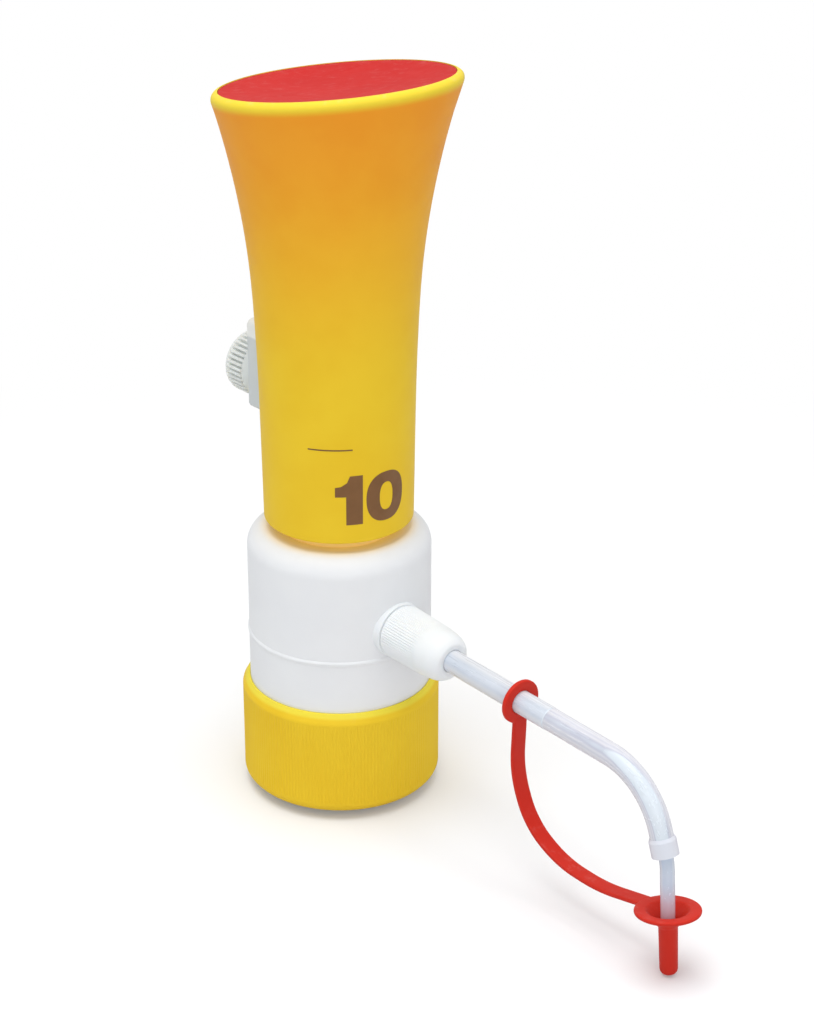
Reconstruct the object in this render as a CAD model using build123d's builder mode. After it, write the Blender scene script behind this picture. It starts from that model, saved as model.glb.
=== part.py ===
from build123d import *
import math
import os

# Bottle top dispenser of 10 ml, in millimetres.
# The origin is the centre of the bottle ring's open lower end, +Z runs up the barrel's axis,
# and the discharge jet points along +X.  The handle is down and set to deliver 8 ml.

# ---- Driving dimensions ----

# Bottle ring: a 45 mm screw ring that grips the bottle's neck.
ring_radius = 26.0
ring_height = 29.0
ring_bevel_start = 26.4
thread_radius = 22.5
thread_length = 14.3
relief_radius = 23.1
web_bottom = 19.5
web_top = 22.5
web_bore_radius = 17.5
recess_radius = 24.2

# Housing: two white shells round the valve block.
housing_radius = 23.9
housing_wall = 2.3
housing_bottom = 22.6
housing_seam = 43.1
housing_top = 71.8
housing_top_radius = 5.2
tongue_height = 1.0
seam_lip = 0.25
collar_radius = 16.3

# Valve block and neck seal.
stub_radius = 17.45
block_bottom = 16.4
block_flange_radius = 21.5
block_column_radius = 13.5
block_top = 66.0
barrel_floor = 58.0
riser_radius = 2.2
gasket_bottom = 14.6
gasket_radius = 21.8

# Suction valve.
seat_insert_radius = 6.0
seat_top = 24.0
seat_hole_radius = 2.0
tube_socket_radius = 3.0
tube_socket_depth = 7.5
suction_ball_radius = 3.0
suction_chamber_radius = 3.8
suction_chamber_top = 30.8
ball_gap = 0.05

# Barrel, piston and stroke.
bore_radius = 8.0
glass_radius = 10.0
glass_bottom = 59.0
glass_top = 150.0
seal_clearance = 0.05
piston_bottom = 59.7
piston_top = 68.0
rod_radius = 4.0
volume_per_ml = 1000.0
stroke_per_ml = volume_per_ml / (math.pi * bore_radius**2)
volume_at_rest = 8.0
smallest_volume = 2.0
stroke = stroke_per_ml * volume_at_rest

# Handle sleeve: a flared yellow shell cut off at a slant under a red lid.
sleeve_bottom = 74.7
sleeve_radius = 19.3
sleeve_bore = 17.4
sleeve_foot_round = 0.5
sleeve_wall = 2.2
rim_height = 188.5
rim_slope = 0.135
rim_round = 2.0
lid_radius = 28.7
lid_offset = 1.25
lid_depth = 0.15
lid_chamfer = 0.3
lid_thickness = 2.4
lid_dish = 2.0
lid_boss_radius = 6.0
lid_boss_bottom = 172.0
lid_boss_top = 185.3

# Volume slider: a saddle outside the sleeve clamped to a stop lug inside it.
knob_height = 106.2
lug_half_height = 3.5
lug_half_width = 5.0
lug_inner_radius = 12.6
slot_half_width = 3.2
slide_gap = 0.3
saddle_width = 20.2
saddle_bottom = 99.2
saddle_top = 123.3
saddle_face = 24.0
saddle_bar_height = 4.4
saddle_bar_rise = 0.8
saddle_corner = 1.6
saddle_edge_round = 0.5
saddle_slope = 0.4
saddle_bore = 20.1
stud_radius = 2.0
knob_radius = 8.4
knob_inner = 24.3
knob_outer = 36.5
knob_ridges = 38
guard_radius = 12.0
stop_flange_radius = 15.2

# Discharge jet: distances are measured along its own axis from the barrel's axis.
jet_axis_height = 50.9
jet_droop = math.radians(1.7)
boss_radius = 5.7
boss_end = 32.0
discharge_seat_start = 25.5
discharge_seat_end = 28.0
discharge_seat_hole = 1.4
discharge_bore = 4.0
discharge_ball_radius = 2.2
jet_base = 32.2
jet_flange_radius = 5.2
jet_radius = 2.95
jet_bore = 2.62
jet_end = 80.7
jet_shoulder = 38.6
jacket_radius = 2.85
jacket_spigot_radius = 2.6
jacket_bore = 1.8
jacket_start = 66.0
tube_radius = 1.75
tube_bore = 1.2
bend_radius = 18.8
lower_bend_radius = 15.0
bend_corner = (113.8, 47.52)
lower_corner = (120.78, 27.6)
tip_lean = math.radians(4.5)
tip_length = 23.6
end_collar_start = 1.6
end_collar_end = 6.2
end_collar_radius = 3.3

# Union nut.
nut_start = 24.6
nut_end = 44.9
nut_radius = 7.2
running_clearance = 0.05

# Closure cap and its tether.
cap_from_corner = 12.4
cap_flange_radius = 8.0
cap_finger_radius = 2.33
cap_finger_length = 17.1
cap_bore_depth = 12.0
loop_start = 69.2
loop_thickness = 1.2
loop_radius = 5.65
strap_width = 4.7
strap_thickness = 1.0

# ---- Planes that carry the turned sections: local x is a radius, local y runs along the axis ----

barrel_section = Plane.XZ
jet_section = Plane(
    origin=(0, 0, jet_axis_height),
    x_dir=(math.sin(jet_droop), 0, math.cos(jet_droop)),
    z_dir=(0, 1, 0),
)
knob_section = Plane(origin=(0, 0, knob_height), x_dir=(0, 0, 1), z_dir=(0, -1, 0))
rim_tilt = math.atan(rim_slope)
# The flare makes the slanted rim's outline a circle whose centre is a little forward of the axis.
lid_section = Plane(
    origin=(lid_offset, 0, rim_height + rim_slope * lid_offset),
    x_dir=(math.cos(rim_tilt), 0, math.sin(rim_tilt)),
    z_dir=(0, -1, 0),
)
rim_plane = Plane(
    origin=(0, 0, rim_height),
    x_dir=(math.cos(rim_tilt), 0, math.sin(rim_tilt)),
    z_dir=(-math.sin(rim_tilt), 0, math.cos(rim_tilt)),
)
cap_section = Plane(
    origin=(
        lower_corner[0] + cap_from_corner * math.sin(tip_lean),
        0,
        lower_corner[1] - cap_from_corner * math.cos(tip_lean),
    ),
    x_dir=(math.cos(tip_lean), 0, math.sin(tip_lean)),
    z_dir=(0, -1, 0),
)


def on_jet(distance):
    """A point on the jet's straight axis, as (x, z)."""
    return (distance * math.cos(jet_droop), jet_axis_height - distance * math.sin(jet_droop))


def turn(section, points, mode=Mode.ADD):
    """Turn a closed outline of (radius, distance) points about the section plane's own y axis."""
    with BuildSketch(section) as outline:
        with BuildLine():
            Polyline(*points, close=True)
        make_face()
    revolve(outline.sketch, axis=Axis(section.origin, section.y_dir), mode=mode)


def ring_points(inner, outer, low, high):
    """The outline of a plain ring or tube."""
    return [(inner, low), (outer, low), (outer, high), (inner, high)]


def save(builder, name):
    """Label a finished piece and write it to its own file."""
    builder.part.label = name
    export_step(builder.part, f"parts/{name}.step")


os.makedirs("parts", exist_ok=True)

# ---- Bottle ring ----

with BuildPart() as bottle_ring:
    turn(
        barrel_section,
        [
            (thread_radius, 0),
            (ring_radius - 1.0, 0),
            (ring_radius, 1.0),
            (ring_radius, ring_bevel_start),
            (recess_radius + 0.3, ring_height),
            (recess_radius, ring_height),
            (recess_radius, web_top),
            (web_bore_radius, web_top),
            (web_bore_radius, web_bottom),
            (relief_radius, web_bottom),
            (relief_radius, thread_length),
            (thread_radius, thread_length),
        ],
    )
save(bottle_ring, "bottle_ring")

# ---- Housing shells ----

housing_inside = housing_radius - housing_wall
tongue_radius = housing_radius - housing_wall / 2
floor_top = housing_bottom + 2.6

with BuildPart() as lower_housing:
    turn(
        barrel_section,
        [
            (stub_radius, housing_bottom),
            (housing_radius - 1.0, housing_bottom),
            (housing_radius, housing_bottom + 1.0),
            (housing_radius, housing_seam - 0.9),
            (housing_radius + seam_lip, housing_seam - 0.6),
            (housing_radius + seam_lip, housing_seam),
            (tongue_radius, housing_seam),
            (tongue_radius, housing_seam + tongue_height),
            (housing_inside, housing_seam + tongue_height),
            (housing_inside, floor_top),
            (stub_radius, floor_top),
        ],
    )
save(lower_housing, "lower_housing")

with BuildPart() as upper_housing:
    turn(
        barrel_section,
        [
            (tongue_radius, housing_seam),
            (housing_radius, housing_seam),
            (housing_radius, housing_top),
            (collar_radius + slide_gap, housing_top),
            (collar_radius + slide_gap, housing_top - housing_wall),
            (housing_inside - 3.0, housing_top - housing_wall),
            (housing_inside, housing_top - housing_wall - 3.0),
            (housing_inside, housing_seam + tongue_height),
            (tongue_radius, housing_seam + tongue_height),
        ],
    )
    shoulder = upper_housing.edges().filter_by(GeomType.CIRCLE).group_by(Axis.Z)[-1].sort_by(SortBy.RADIUS)[-1]
    fillet(shoulder, housing_top_radius)
    turn(jet_section, ring_points(0, boss_radius + slide_gap, 12.0, 30.0), Mode.SUBTRACT)
save(upper_housing, "upper_housing")

# ---- Valve block, with the ball chamber below, the barrel's socket above and the jet's boss ----

with BuildPart() as valve_block:
    turn(
        barrel_section,
        [
            (seat_insert_radius, block_bottom),
            (stub_radius, block_bottom),
            (stub_radius, floor_top),
            (block_flange_radius, floor_top),
            (block_flange_radius, floor_top + 2.8),
            (block_column_radius, floor_top + 6.0),
            (block_column_radius, block_top - 6.0),
            (collar_radius, block_top - 4.0),
            (collar_radius, block_top),
            (glass_radius + running_clearance, block_top),
            (glass_radius + running_clearance, barrel_floor),
            (riser_radius, barrel_floor),
            (riser_radius, suction_chamber_top),
            (suction_chamber_radius, suction_chamber_top),
            (suction_chamber_radius, seat_top),
            (seat_insert_radius, seat_top),
        ],
    )
    turn(jet_section, ring_points(0, boss_radius, 10.0, boss_end))
    turn(jet_section, ring_points(0, discharge_seat_hole, 0.5, discharge_seat_start), Mode.SUBTRACT)
    turn(jet_section, ring_points(0, discharge_bore, discharge_seat_start, boss_end), Mode.SUBTRACT)
save(valve_block, "valve_block")

flange_top = web_bottom - 0.2
with BuildPart() as retaining_flange:
    turn(barrel_section, ring_points(stub_radius, gasket_radius, block_bottom, flange_top))
save(retaining_flange, "retaining_flange")

seat_collar_radius = 8.5
with BuildPart() as neck_gasket:
    turn(barrel_section, ring_points(seat_collar_radius + 0.5, gasket_radius, gasket_bottom, block_bottom))
save(neck_gasket, "neck_gasket")

# ---- Suction valve: a screwed seat with the intake tube's socket, and its ball ----

seat_bottom = block_bottom - 1.5
with BuildPart() as suction_valve_seat:
    turn(
        barrel_section,
        [
            (seat_hole_radius, seat_top),
            (seat_hole_radius, seat_bottom + tube_socket_depth),
            (tube_socket_radius, seat_bottom + tube_socket_depth),
            (tube_socket_radius, seat_bottom),
            (seat_collar_radius, seat_bottom),
            (seat_collar_radius, block_bottom),
            (seat_insert_radius, block_bottom),
            (seat_insert_radius, seat_top),
        ],
    )
save(suction_valve_seat, "suction_valve_seat")

suction_ball_centre = seat_top + ball_gap + math.sqrt(suction_ball_radius**2 - seat_hole_radius**2)
with BuildPart() as suction_ball:
    with Locations((0, 0, suction_ball_centre)):
        Sphere(suction_ball_radius)
save(suction_ball, "suction_ball")

# ---- Barrel: glass cylinder, its two seals, and the guard with the stroke's stop flange ----

with BuildPart() as glass_cylinder:
    turn(barrel_section, ring_points(bore_radius, glass_radius, glass_bottom, glass_top))
save(glass_cylinder, "glass_cylinder")

with BuildPart() as cylinder_seal:
    turn(barrel_section, ring_points(5.0, glass_radius, barrel_floor, glass_bottom))
save(cylinder_seal, "cylinder_seal")

cushion_top = glass_top + 1.2
with BuildPart() as glass_cushion:
    turn(barrel_section, ring_points(bore_radius + 0.4, glass_radius + 0.4, glass_top, cushion_top))
save(glass_cushion, "glass_cushion")

stop_height = knob_height + lug_half_height + stroke + 0.2
with BuildPart() as barrel_guard:
    turn(
        barrel_section,
        [
            (glass_radius + 0.5, block_top),
            (collar_radius, block_top),
            (collar_radius, sleeve_bottom + 2.3),
            (guard_radius, sleeve_bottom + 4.8),
            (guard_radius, stop_height),
            (stop_flange_radius, stop_height),
            (stop_flange_radius, stop_height + 2.3),
            (stop_flange_radius - 0.7, stop_height + 3.0),
            (bore_radius + 0.8, stop_height + 3.0),
            (bore_radius + 0.8, cushion_top),
            (glass_radius + 0.5, cushion_top),
        ],
    )
save(barrel_guard, "barrel_guard")

# ---- Discharge valve: seat, ball and spring inside the jet's root ----

with BuildPart() as discharge_valve_seat:
    turn(
        jet_section,
        ring_points(discharge_seat_hole, discharge_bore, discharge_seat_start, discharge_seat_end),
    )
save(discharge_valve_seat, "discharge_valve_seat")

discharge_ball_centre = (
    discharge_seat_end + ball_gap + math.sqrt(discharge_ball_radius**2 - discharge_seat_hole**2)
)
ball_x, ball_z = on_jet(discharge_ball_centre)
with BuildPart() as discharge_ball:
    with Locations((ball_x, 0, ball_z)):
        Sphere(discharge_ball_radius)
save(discharge_ball, "discharge_ball")

spring_radius = 1.7
spring_wire_radius = 0.22
spring_turns = 5
spring_start = (
    discharge_ball_centre + math.sqrt(discharge_ball_radius**2 - spring_radius**2) + 2 * spring_wire_radius
)
spring_length = jet_shoulder - spring_wire_radius - 0.1 - spring_start
spring_x, spring_z = on_jet(spring_start)
with BuildPart() as discharge_spring:
    with BuildLine() as coil:
        Helix(
            spring_length / spring_turns,
            spring_length,
            spring_radius,
            center=(spring_x, 0, spring_z),
            direction=jet_section.y_dir,
        )
    with BuildSketch(Plane(origin=coil.line @ 0, z_dir=coil.line % 0)):
        Circle(spring_wire_radius)
    sweep()
save(discharge_spring, "discharge_spring")

# ---- Discharge jet: straight tube, bent jacket, delivery tube and end collar ----

with BuildPart() as jet_tube:
    turn(
        jet_section,
        [
            (discharge_ball_radius + slide_gap, jet_base),
            (jet_flange_radius, jet_base),
            (jet_flange_radius, jet_base + 1.5),
            (jet_radius, jet_base + 1.5),
            (jet_radius, jet_end - 0.3),
            (jet_radius - 0.15, jet_end),
            (jet_bore, jet_end),
            (jet_bore, jet_shoulder + 2.4),
            (tube_radius, jet_shoulder + 2.4),
            (tube_radius, jet_shoulder),
            (discharge_ball_radius + slide_gap, jet_shoulder),
        ],
    )
save(jet_tube, "jet_tube")

bend_turn = math.atan2(bend_corner[1] - lower_corner[1], lower_corner[0] - bend_corner[0]) - jet_droop
bend_tangent = bend_radius * math.tan(bend_turn / 2)
fall_length = math.dist(bend_corner, lower_corner)
fall_x = (lower_corner[0] - bend_corner[0]) / fall_length
fall_z = (lower_corner[1] - bend_corner[1]) / fall_length


def on_fall(distance):
    """A point on the straight stretch below the bend, measured from the bend's end, as (x, z)."""
    along = bend_tangent + distance
    return (bend_corner[0] + along * fall_x, bend_corner[1] + along * fall_z)


tube_tip = (
    lower_corner[0] + tip_length * math.sin(tip_lean),
    lower_corner[1] - tip_length * math.cos(tip_lean),
)


def tube_along(points, radii, outer, inner):
    """Sweep a tube along straight runs joined by arcs, in the XZ plane."""
    corners = [(x, 0, z) for x, z in points]
    with BuildLine() as route:
        FilletPolyline(*corners, radius=radii)
    with BuildSketch(Plane(origin=route.line @ 0, z_dir=route.line % 0)) as wall:
        Circle(outer)
        Circle(inner, mode=Mode.SUBTRACT)
    sweep(wall.sketch, path=route.line)


with BuildPart() as jet_jacket:
    tube_along(
        [on_jet(jet_end), bend_corner, on_fall(end_collar_end)],
        bend_radius,
        jacket_radius,
        jacket_bore,
    )
    # The spigot plugs into the end of the jet.
    turn(jet_section, ring_points(jacket_bore, jacket_spigot_radius, jacket_start, jet_end))
save(jet_jacket, "jet_jacket")

with BuildPart() as delivery_tube:
    tube_along(
        [on_jet(jet_shoulder), bend_corner, lower_corner, tube_tip],
        [bend_radius, lower_bend_radius],
        tube_radius,
        tube_bore,
    )
save(delivery_tube, "delivery_tube")

fall_section = Plane(
    origin=(on_fall(0)[0], 0, on_fall(0)[1]),
    x_dir=(-fall_z, 0, fall_x),
    z_dir=(0, 1, 0),
)
with BuildPart() as jet_end_collar:
    turn(
        fall_section,
        [
            (jacket_radius, end_collar_start),
            (jacket_radius + 0.1, end_collar_start),
            (end_collar_radius, end_collar_start + 0.8),
            (end_collar_radius, end_collar_end),
            (jacket_radius, end_collar_end),
        ],
    )
save(jet_end_collar, "jet_end_collar")

# ---- Union nut, which clamps the jet's flange on the boss ----

with BuildPart() as union_nut:
    turn(
        jet_section,
        [
            (boss_radius + running_clearance, nut_start),
            (nut_radius - 0.6, nut_start),
            (nut_radius, nut_start + 0.6),
            (nut_radius - 0.35, nut_start + 13.8),
            (nut_radius - 0.75, nut_end - 3.0),
            (nut_radius - 1.4, nut_end - 1.2),
            (nut_radius - 2.7, nut_end),
            (jet_radius + slide_gap, nut_end),
            (jet_radius + slide_gap, jet_base + 1.8),
            (jet_flange_radius + 0.4, jet_base + 1.8),
            (jet_flange_radius + 0.4, jet_base + 0.2),
            (boss_radius + running_clearance, jet_base + 0.2),
        ],
    )
save(union_nut, "union_nut")

# ---- Closure cap with its funnel and finger, and the tether that keeps it ----

with BuildPart() as closure_cap:
    turn(
        cap_section,
        [
            (0, -cap_finger_length),
            (cap_finger_radius - 0.15, -cap_finger_length),
            (cap_finger_radius, -1.4),
            (cap_flange_radius, -0.1),
            (cap_flange_radius, 0.9),
            (cap_flange_radius - 0.7, 0.9),
            (tube_radius + 1.0, -0.5),
            (tube_radius + running_clearance, -1.4),
            (tube_radius + running_clearance, -cap_bore_depth),
            (0, -cap_bore_depth),
        ],
    )
    tip_edge = closure_cap.edges().filter_by(GeomType.CIRCLE).sort_by(Axis.Z)[0]
    fillet(tip_edge, 1.6)
save(closure_cap, "closure_cap")

strap_top = on_jet(loop_start + loop_thickness / 2)
strap_corners = [
    (strap_top[0], strap_top[1] - jet_radius - 1.0),
    (68.6, 29.0),
    (74.2, 16.6),
    (86.0, 10.6),
    (100.0, 9.6),
    (113.5, 13.95),
]
strap_radii = [18.0, 20.0, 34.0, 36.0]
with BuildPart() as cap_tether:
    with BuildLine(Plane.XZ) as strap_route:
        FilletPolyline(*strap_corners, radius=strap_radii)
    with BuildSketch(Plane(origin=strap_route.line @ 0, x_dir=(0, 1, 0), z_dir=strap_route.line % 0)):
        Rectangle(strap_width, strap_thickness)
    sweep()
    turn(jet_section, ring_points(0, loop_radius, loop_start, loop_start + loop_thickness))
    turn(
        jet_section,
        ring_points(0, jet_radius + running_clearance, loop_start - 6.0, loop_start + 6.0),
        Mode.SUBTRACT,
    )
save(cap_tether, "cap_tether")

# ---- Handle sleeve ----

slot_bottom = knob_height - lug_half_height - (10.0 - volume_at_rest) * stroke_per_ml - 0.5
slot_top = knob_height + lug_half_height + (volume_at_rest - smallest_volume) * stroke_per_ml + 0.5
track_half_width = saddle_width / 2 + 0.6
track_top = slot_top + 9.0
track_wall = 2.0


def flare(inset):
    """The sleeve's outline from its tapered part up past the rim, moved inwards by inset."""
    return [
        (19.65 - inset, 97.6),
        (20.25 - inset, 122.0),
        (21.95 - inset, 147.0),
        (25.25 - inset, 167.0),
        (29.1 - inset, 182.5),
        (33.4 - inset, 196.0),
    ]


def flared_body(inset, bottom):
    """A solid round body inside the sleeve's outline."""
    points = flare(inset)
    with BuildSketch(Plane.XZ) as outline:
        with BuildLine():
            wall = Spline(*points, tangents=[(0.016, 1), (0.32, 1)])
            Polyline(wall @ 1, (0, points[-1][1]), (0, bottom), (sleeve_radius - inset, bottom), wall @ 0)
        make_face()
    return revolve(outline.sketch, axis=Axis.Z, mode=Mode.PRIVATE)


with BuildPart() as handle_sleeve:
    add(flared_body(0, sleeve_bottom))
    split(bisect_by=rim_plane, keep=Keep.BOTTOM)
    fillet(handle_sleeve.edges().sort_by(Axis.Z)[-1], rim_round)
    fillet(handle_sleeve.edges().sort_by(Axis.Z)[0], sleeve_foot_round)
    # The guide track's inner wall stays straight where the sleeve flares away from it.
    with BuildPart(mode=Mode.PRIVATE) as cavity:
        add(flared_body(sleeve_wall, sleeve_bottom - 5.0))
        with BuildSketch(Plane.XY.offset(sleeve_bottom - 5.0)):
            with Locations((-40.0, 0)):
                Rectangle(80.0 - 2 * sleeve_bore, 2 * (track_half_width + track_wall))
        extrude(amount=track_top + track_wall - sleeve_bottom + 5.0, mode=Mode.SUBTRACT)
        with BuildSketch(Plane.XY.offset(sleeve_bottom - 5.0)):
            Circle(sleeve_bore)
        extrude(amount=60.0)
    add(cavity.part, mode=Mode.SUBTRACT)
    # The pocket that the saddle slides in.
    with BuildSketch(Plane.XY.offset(slot_bottom - 12.0)):
        Rectangle(90.0, 2 * track_half_width, align=(Align.MAX, Align.CENTER))
        Circle(saddle_bore - slide_gap, mode=Mode.SUBTRACT)
    extrude(amount=track_top - slot_bottom + 12.0, mode=Mode.SUBTRACT)
    # The slot that the stop lug's neck passes through.
    with BuildSketch(Plane.YZ.offset(-30.0)):
        with Locations((0, (slot_bottom + slot_top) / 2)):
            Rectangle(2 * slot_half_width, slot_top - slot_bottom)
    extrude(amount=20.0, mode=Mode.SUBTRACT)
    turn(lid_section, ring_points(0, lid_radius, -lid_depth - lid_thickness, 5.0), Mode.SUBTRACT)
save(handle_sleeve, "handle_sleeve")

# ---- Lid, with the boss that holds the piston rod ----

with BuildPart() as handle_lid:
    with BuildSketch(lid_section) as lid_outline:
        with BuildLine():
            dish = Spline(
                (lid_radius - lid_chamfer, -lid_depth),
                (0, -lid_depth - lid_dish),
                tangents=[(-1, -0.35), (-1, 0)],
            )
            Polyline(
                dish @ 1,
                (0, -lid_depth - lid_dish - lid_thickness),
                (lid_radius * 0.6, -lid_depth - lid_thickness - 1.0),
                (lid_radius * 0.85, -lid_depth - lid_thickness),
                (lid_radius, -lid_depth - lid_thickness),
                (lid_radius, -lid_depth - lid_chamfer),
                dish @ 0,
            )
        make_face()
    revolve(lid_outline.sketch, axis=Axis(lid_section.origin, lid_section.y_dir))
    turn(barrel_section, ring_points(0, lid_boss_radius, lid_boss_bottom, lid_boss_top))
    turn(barrel_section, ring_points(0, rod_radius, lid_boss_bottom, lid_boss_bottom + 8.0), Mode.SUBTRACT)
save(handle_lid, "handle_lid")

# ---- Piston ----

seal_grooves = (61.2, 64.6)
seal_height = 1.8
groove_radius = 6.8

with BuildPart() as piston_rod:
    turn(barrel_section, ring_points(0, rod_radius, piston_top, lid_boss_bottom + 8.0))
save(piston_rod, "piston_rod")

with BuildPart() as piston_head:
    turn(barrel_section, ring_points(0, bore_radius - 0.3, piston_bottom, piston_top))
    for groove in seal_grooves:
        turn(
            barrel_section,
            ring_points(groove_radius, bore_radius, groove, groove + seal_height),
            Mode.SUBTRACT,
        )
save(piston_head, "piston_head")

with BuildPart() as piston_seals:
    for groove in seal_grooves:
        turn(
            barrel_section,
            ring_points(groove_radius, bore_radius - seal_clearance, groove, groove + seal_height),
        )
save(piston_seals, "piston_seals")

rod_nut_height = 5.0
with BuildPart() as rod_nut:
    with BuildSketch(Plane.XY.offset(lid_boss_bottom - rod_nut_height)):
        RegularPolygon(7.5, 6)
        Circle(rod_radius, mode=Mode.SUBTRACT)
    extrude(amount=rod_nut_height)
save(rod_nut, "rod_nut")

# ---- Volume slider: saddle, stop lug, clamping stud and knob ----

with BuildPart() as slider_saddle:
    with BuildSketch(Plane.YZ.offset(-saddle_face)):
        with Locations((0, (saddle_bottom + saddle_top) / 2)):
            RectangleRounded(saddle_width, saddle_top - saddle_bottom, saddle_corner)
    extrude(amount=9.0)
    # A raised bar along the upper end, for the finger that pushes the clamp.
    with BuildSketch(Plane.YZ.offset(-saddle_face - saddle_bar_rise)):
        with Locations((0, saddle_top - saddle_edge_round - 0.1 - saddle_bar_height / 2)):
            RectangleRounded(saddle_width - 2 * saddle_edge_round - 0.2, saddle_bar_height, saddle_corner)
    extrude(amount=saddle_bar_rise + 1.0)
    fillet(slider_saddle.faces().sort_by(Axis.X)[0].edges(), saddle_edge_round)
    # The lower end slopes back to the sleeve.
    with BuildSketch(Plane.XZ):
        Polygon(
            (-saddle_face - 0.1, saddle_bottom - 0.1),
            (-saddle_face + saddle_slope, saddle_bottom - 0.1),
            (-saddle_face - 0.1, saddle_bottom + saddle_slope),
            align=None,
        )
    extrude(amount=saddle_width, both=True, mode=Mode.SUBTRACT)
    with BuildSketch(Plane.XY.offset(saddle_bottom - 1.0)):
        Circle(saddle_bore)
    extrude(amount=saddle_top - saddle_bottom + 2.0, mode=Mode.SUBTRACT)
    turn(knob_section, ring_points(0, stud_radius, 0.0, saddle_face + 1.0), Mode.SUBTRACT)
save(slider_saddle, "slider_saddle")

neck_half_width = slot_half_width - slide_gap
with BuildPart() as stop_lug:
    with BuildSketch(Plane.XY.offset(knob_height - lug_half_height)):
        Circle(sleeve_bore - slide_gap)
        Circle(lug_inner_radius, mode=Mode.SUBTRACT)
        Rectangle(40.0, 2 * lug_half_width, align=(Align.MAX, Align.CENTER), mode=Mode.INTERSECT)
        with Locations((-lug_inner_radius - 2.0, 0)):
            Rectangle(
                saddle_bore - lug_inner_radius - 2.0, 2 * neck_half_width, align=(Align.MAX, Align.CENTER)
            )
        Circle(saddle_bore, mode=Mode.INTERSECT)
    extrude(amount=2 * lug_half_height)
    turn(knob_section, ring_points(0, stud_radius, 14.5, saddle_face), Mode.SUBTRACT)
save(stop_lug, "stop_lug")

with BuildPart() as clamp_stud:
    turn(knob_section, ring_points(0, stud_radius, 14.5, knob_outer - 3.0))
save(clamp_stud, "clamp_stud")

with BuildPart() as volume_knob:
    turn(
        knob_section,
        [
            (stud_radius + running_clearance, knob_inner),
            (5.4, knob_inner),
            (5.7, knob_inner + 2.4),
            (knob_radius - 0.7, knob_inner + 5.6),
            (knob_radius, knob_inner + 6.6),
            (knob_radius, knob_outer - 0.6),
            (knob_radius - 0.5, knob_outer),
            (0, knob_outer + 0.4),
            (0, knob_outer - 2.5),
            (stud_radius + running_clearance, knob_outer - 2.5),
        ],
    )
    with BuildSketch(Plane(origin=(-knob_inner - 5.0, 0, knob_height), z_dir=(-1, 0, 0))):
        with PolarLocations(knob_radius, knob_ridges):
            Circle(0.4)
    extrude(amount=knob_outer - knob_inner - 5.9, mode=Mode.SUBTRACT)
save(volume_knob, "volume_knob")
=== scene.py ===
# %% [markdown]
# # A bottle top dispenser
# This lesson dresses a hand pump that screws on a reagent bottle: a yellow threaded ring, a white
# valve housing, a flared yellow handle under a red lid, a ribbed knob that limits the stroke, and a
# bent discharge jet with a tethered red cap.  The solids of every part were drawn first in a CAD
# script, and they are loaded here as a fixed frame.  They never move; what a close look needs on
# top of them is modelled below, one piece at a time.

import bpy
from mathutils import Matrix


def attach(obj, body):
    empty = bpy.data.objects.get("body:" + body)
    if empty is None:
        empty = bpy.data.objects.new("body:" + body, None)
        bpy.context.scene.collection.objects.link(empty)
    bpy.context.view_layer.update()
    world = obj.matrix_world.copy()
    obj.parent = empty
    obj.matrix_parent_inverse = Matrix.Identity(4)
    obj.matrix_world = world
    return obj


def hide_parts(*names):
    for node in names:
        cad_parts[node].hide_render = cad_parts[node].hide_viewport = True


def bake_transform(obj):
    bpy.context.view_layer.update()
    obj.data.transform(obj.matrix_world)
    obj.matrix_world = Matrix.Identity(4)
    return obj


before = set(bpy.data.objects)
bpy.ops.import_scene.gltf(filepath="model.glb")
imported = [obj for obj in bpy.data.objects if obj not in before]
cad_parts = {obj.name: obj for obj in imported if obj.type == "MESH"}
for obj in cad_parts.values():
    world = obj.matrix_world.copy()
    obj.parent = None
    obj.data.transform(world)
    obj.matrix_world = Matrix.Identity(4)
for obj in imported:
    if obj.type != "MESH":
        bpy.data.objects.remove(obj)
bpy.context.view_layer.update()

# %% [markdown]
# Everything in the frame is in metres.  The parts were drawn in millimetres, so one factor turns a
# drawing size into a Blender size.  Colours are easiest to judge on a screen scale of 0 to 255,
# while shaders want linear light, so a small function converts them.

# %% Units and colours
import math

import bmesh
import bpy
from mathutils import Matrix, Vector

mm = 0.001


def screen_colour(red, green, blue):
    """A screen colour of 0 to 255 as the linear RGBA that a shader takes."""
    linear = []
    for value in (red, green, blue):
        share = value / 255
        linear.append(share / 12.92 if share <= 0.04045 else ((share + 0.055) / 1.055) ** 2.4)
    return (*linear, 1.0)


# %% [markdown]
# ## Camera
# A table-top product is usually taken with a long lens from half a metre or more, so that its upright
# edges stay nearly parallel.  The camera stands in front and to the right of the jet and looks down
# on the handle's lid.  Its place and its two screen directions are written out, because the three of
# them fix the whole matrix with no tracking constraint to evaluate.

# %% Place the camera
camera_place = Vector((0.45486, -0.36186, 0.34233))
camera_right = Vector((0.6456, 0.7637, 0.0008)).normalized()
camera_up = Vector((-0.3198, 0.2695, 0.9084)).normalized()
camera_back = camera_right.cross(camera_up).normalized()

camera_data = bpy.data.cameras.new("bench_camera")
camera_data.lens = 87.19
camera_data.sensor_width = 36.0
camera_data.clip_start = 0.01
camera = bpy.data.objects.new("bench_camera", camera_data)
camera.matrix_world = Matrix(
    (
        (camera_right.x, camera_up.x, camera_back.x, camera_place.x),
        (camera_right.y, camera_up.y, camera_back.y, camera_place.y),
        (camera_right.z, camera_up.z, camera_back.z, camera_place.z),
        (0, 0, 0, 1),
    )
)
bpy.context.scene.collection.objects.link(camera)
bpy.context.scene.camera = camera
print("camera is", round(camera_place.length, 3), "m from the ring")

# %% [markdown]
# ## Shader helpers
# Shader trees are wired from the same few nodes over and over, so each of those gets a short
# function.  They all take the tree first and hand back the socket that carries the result.

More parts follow.
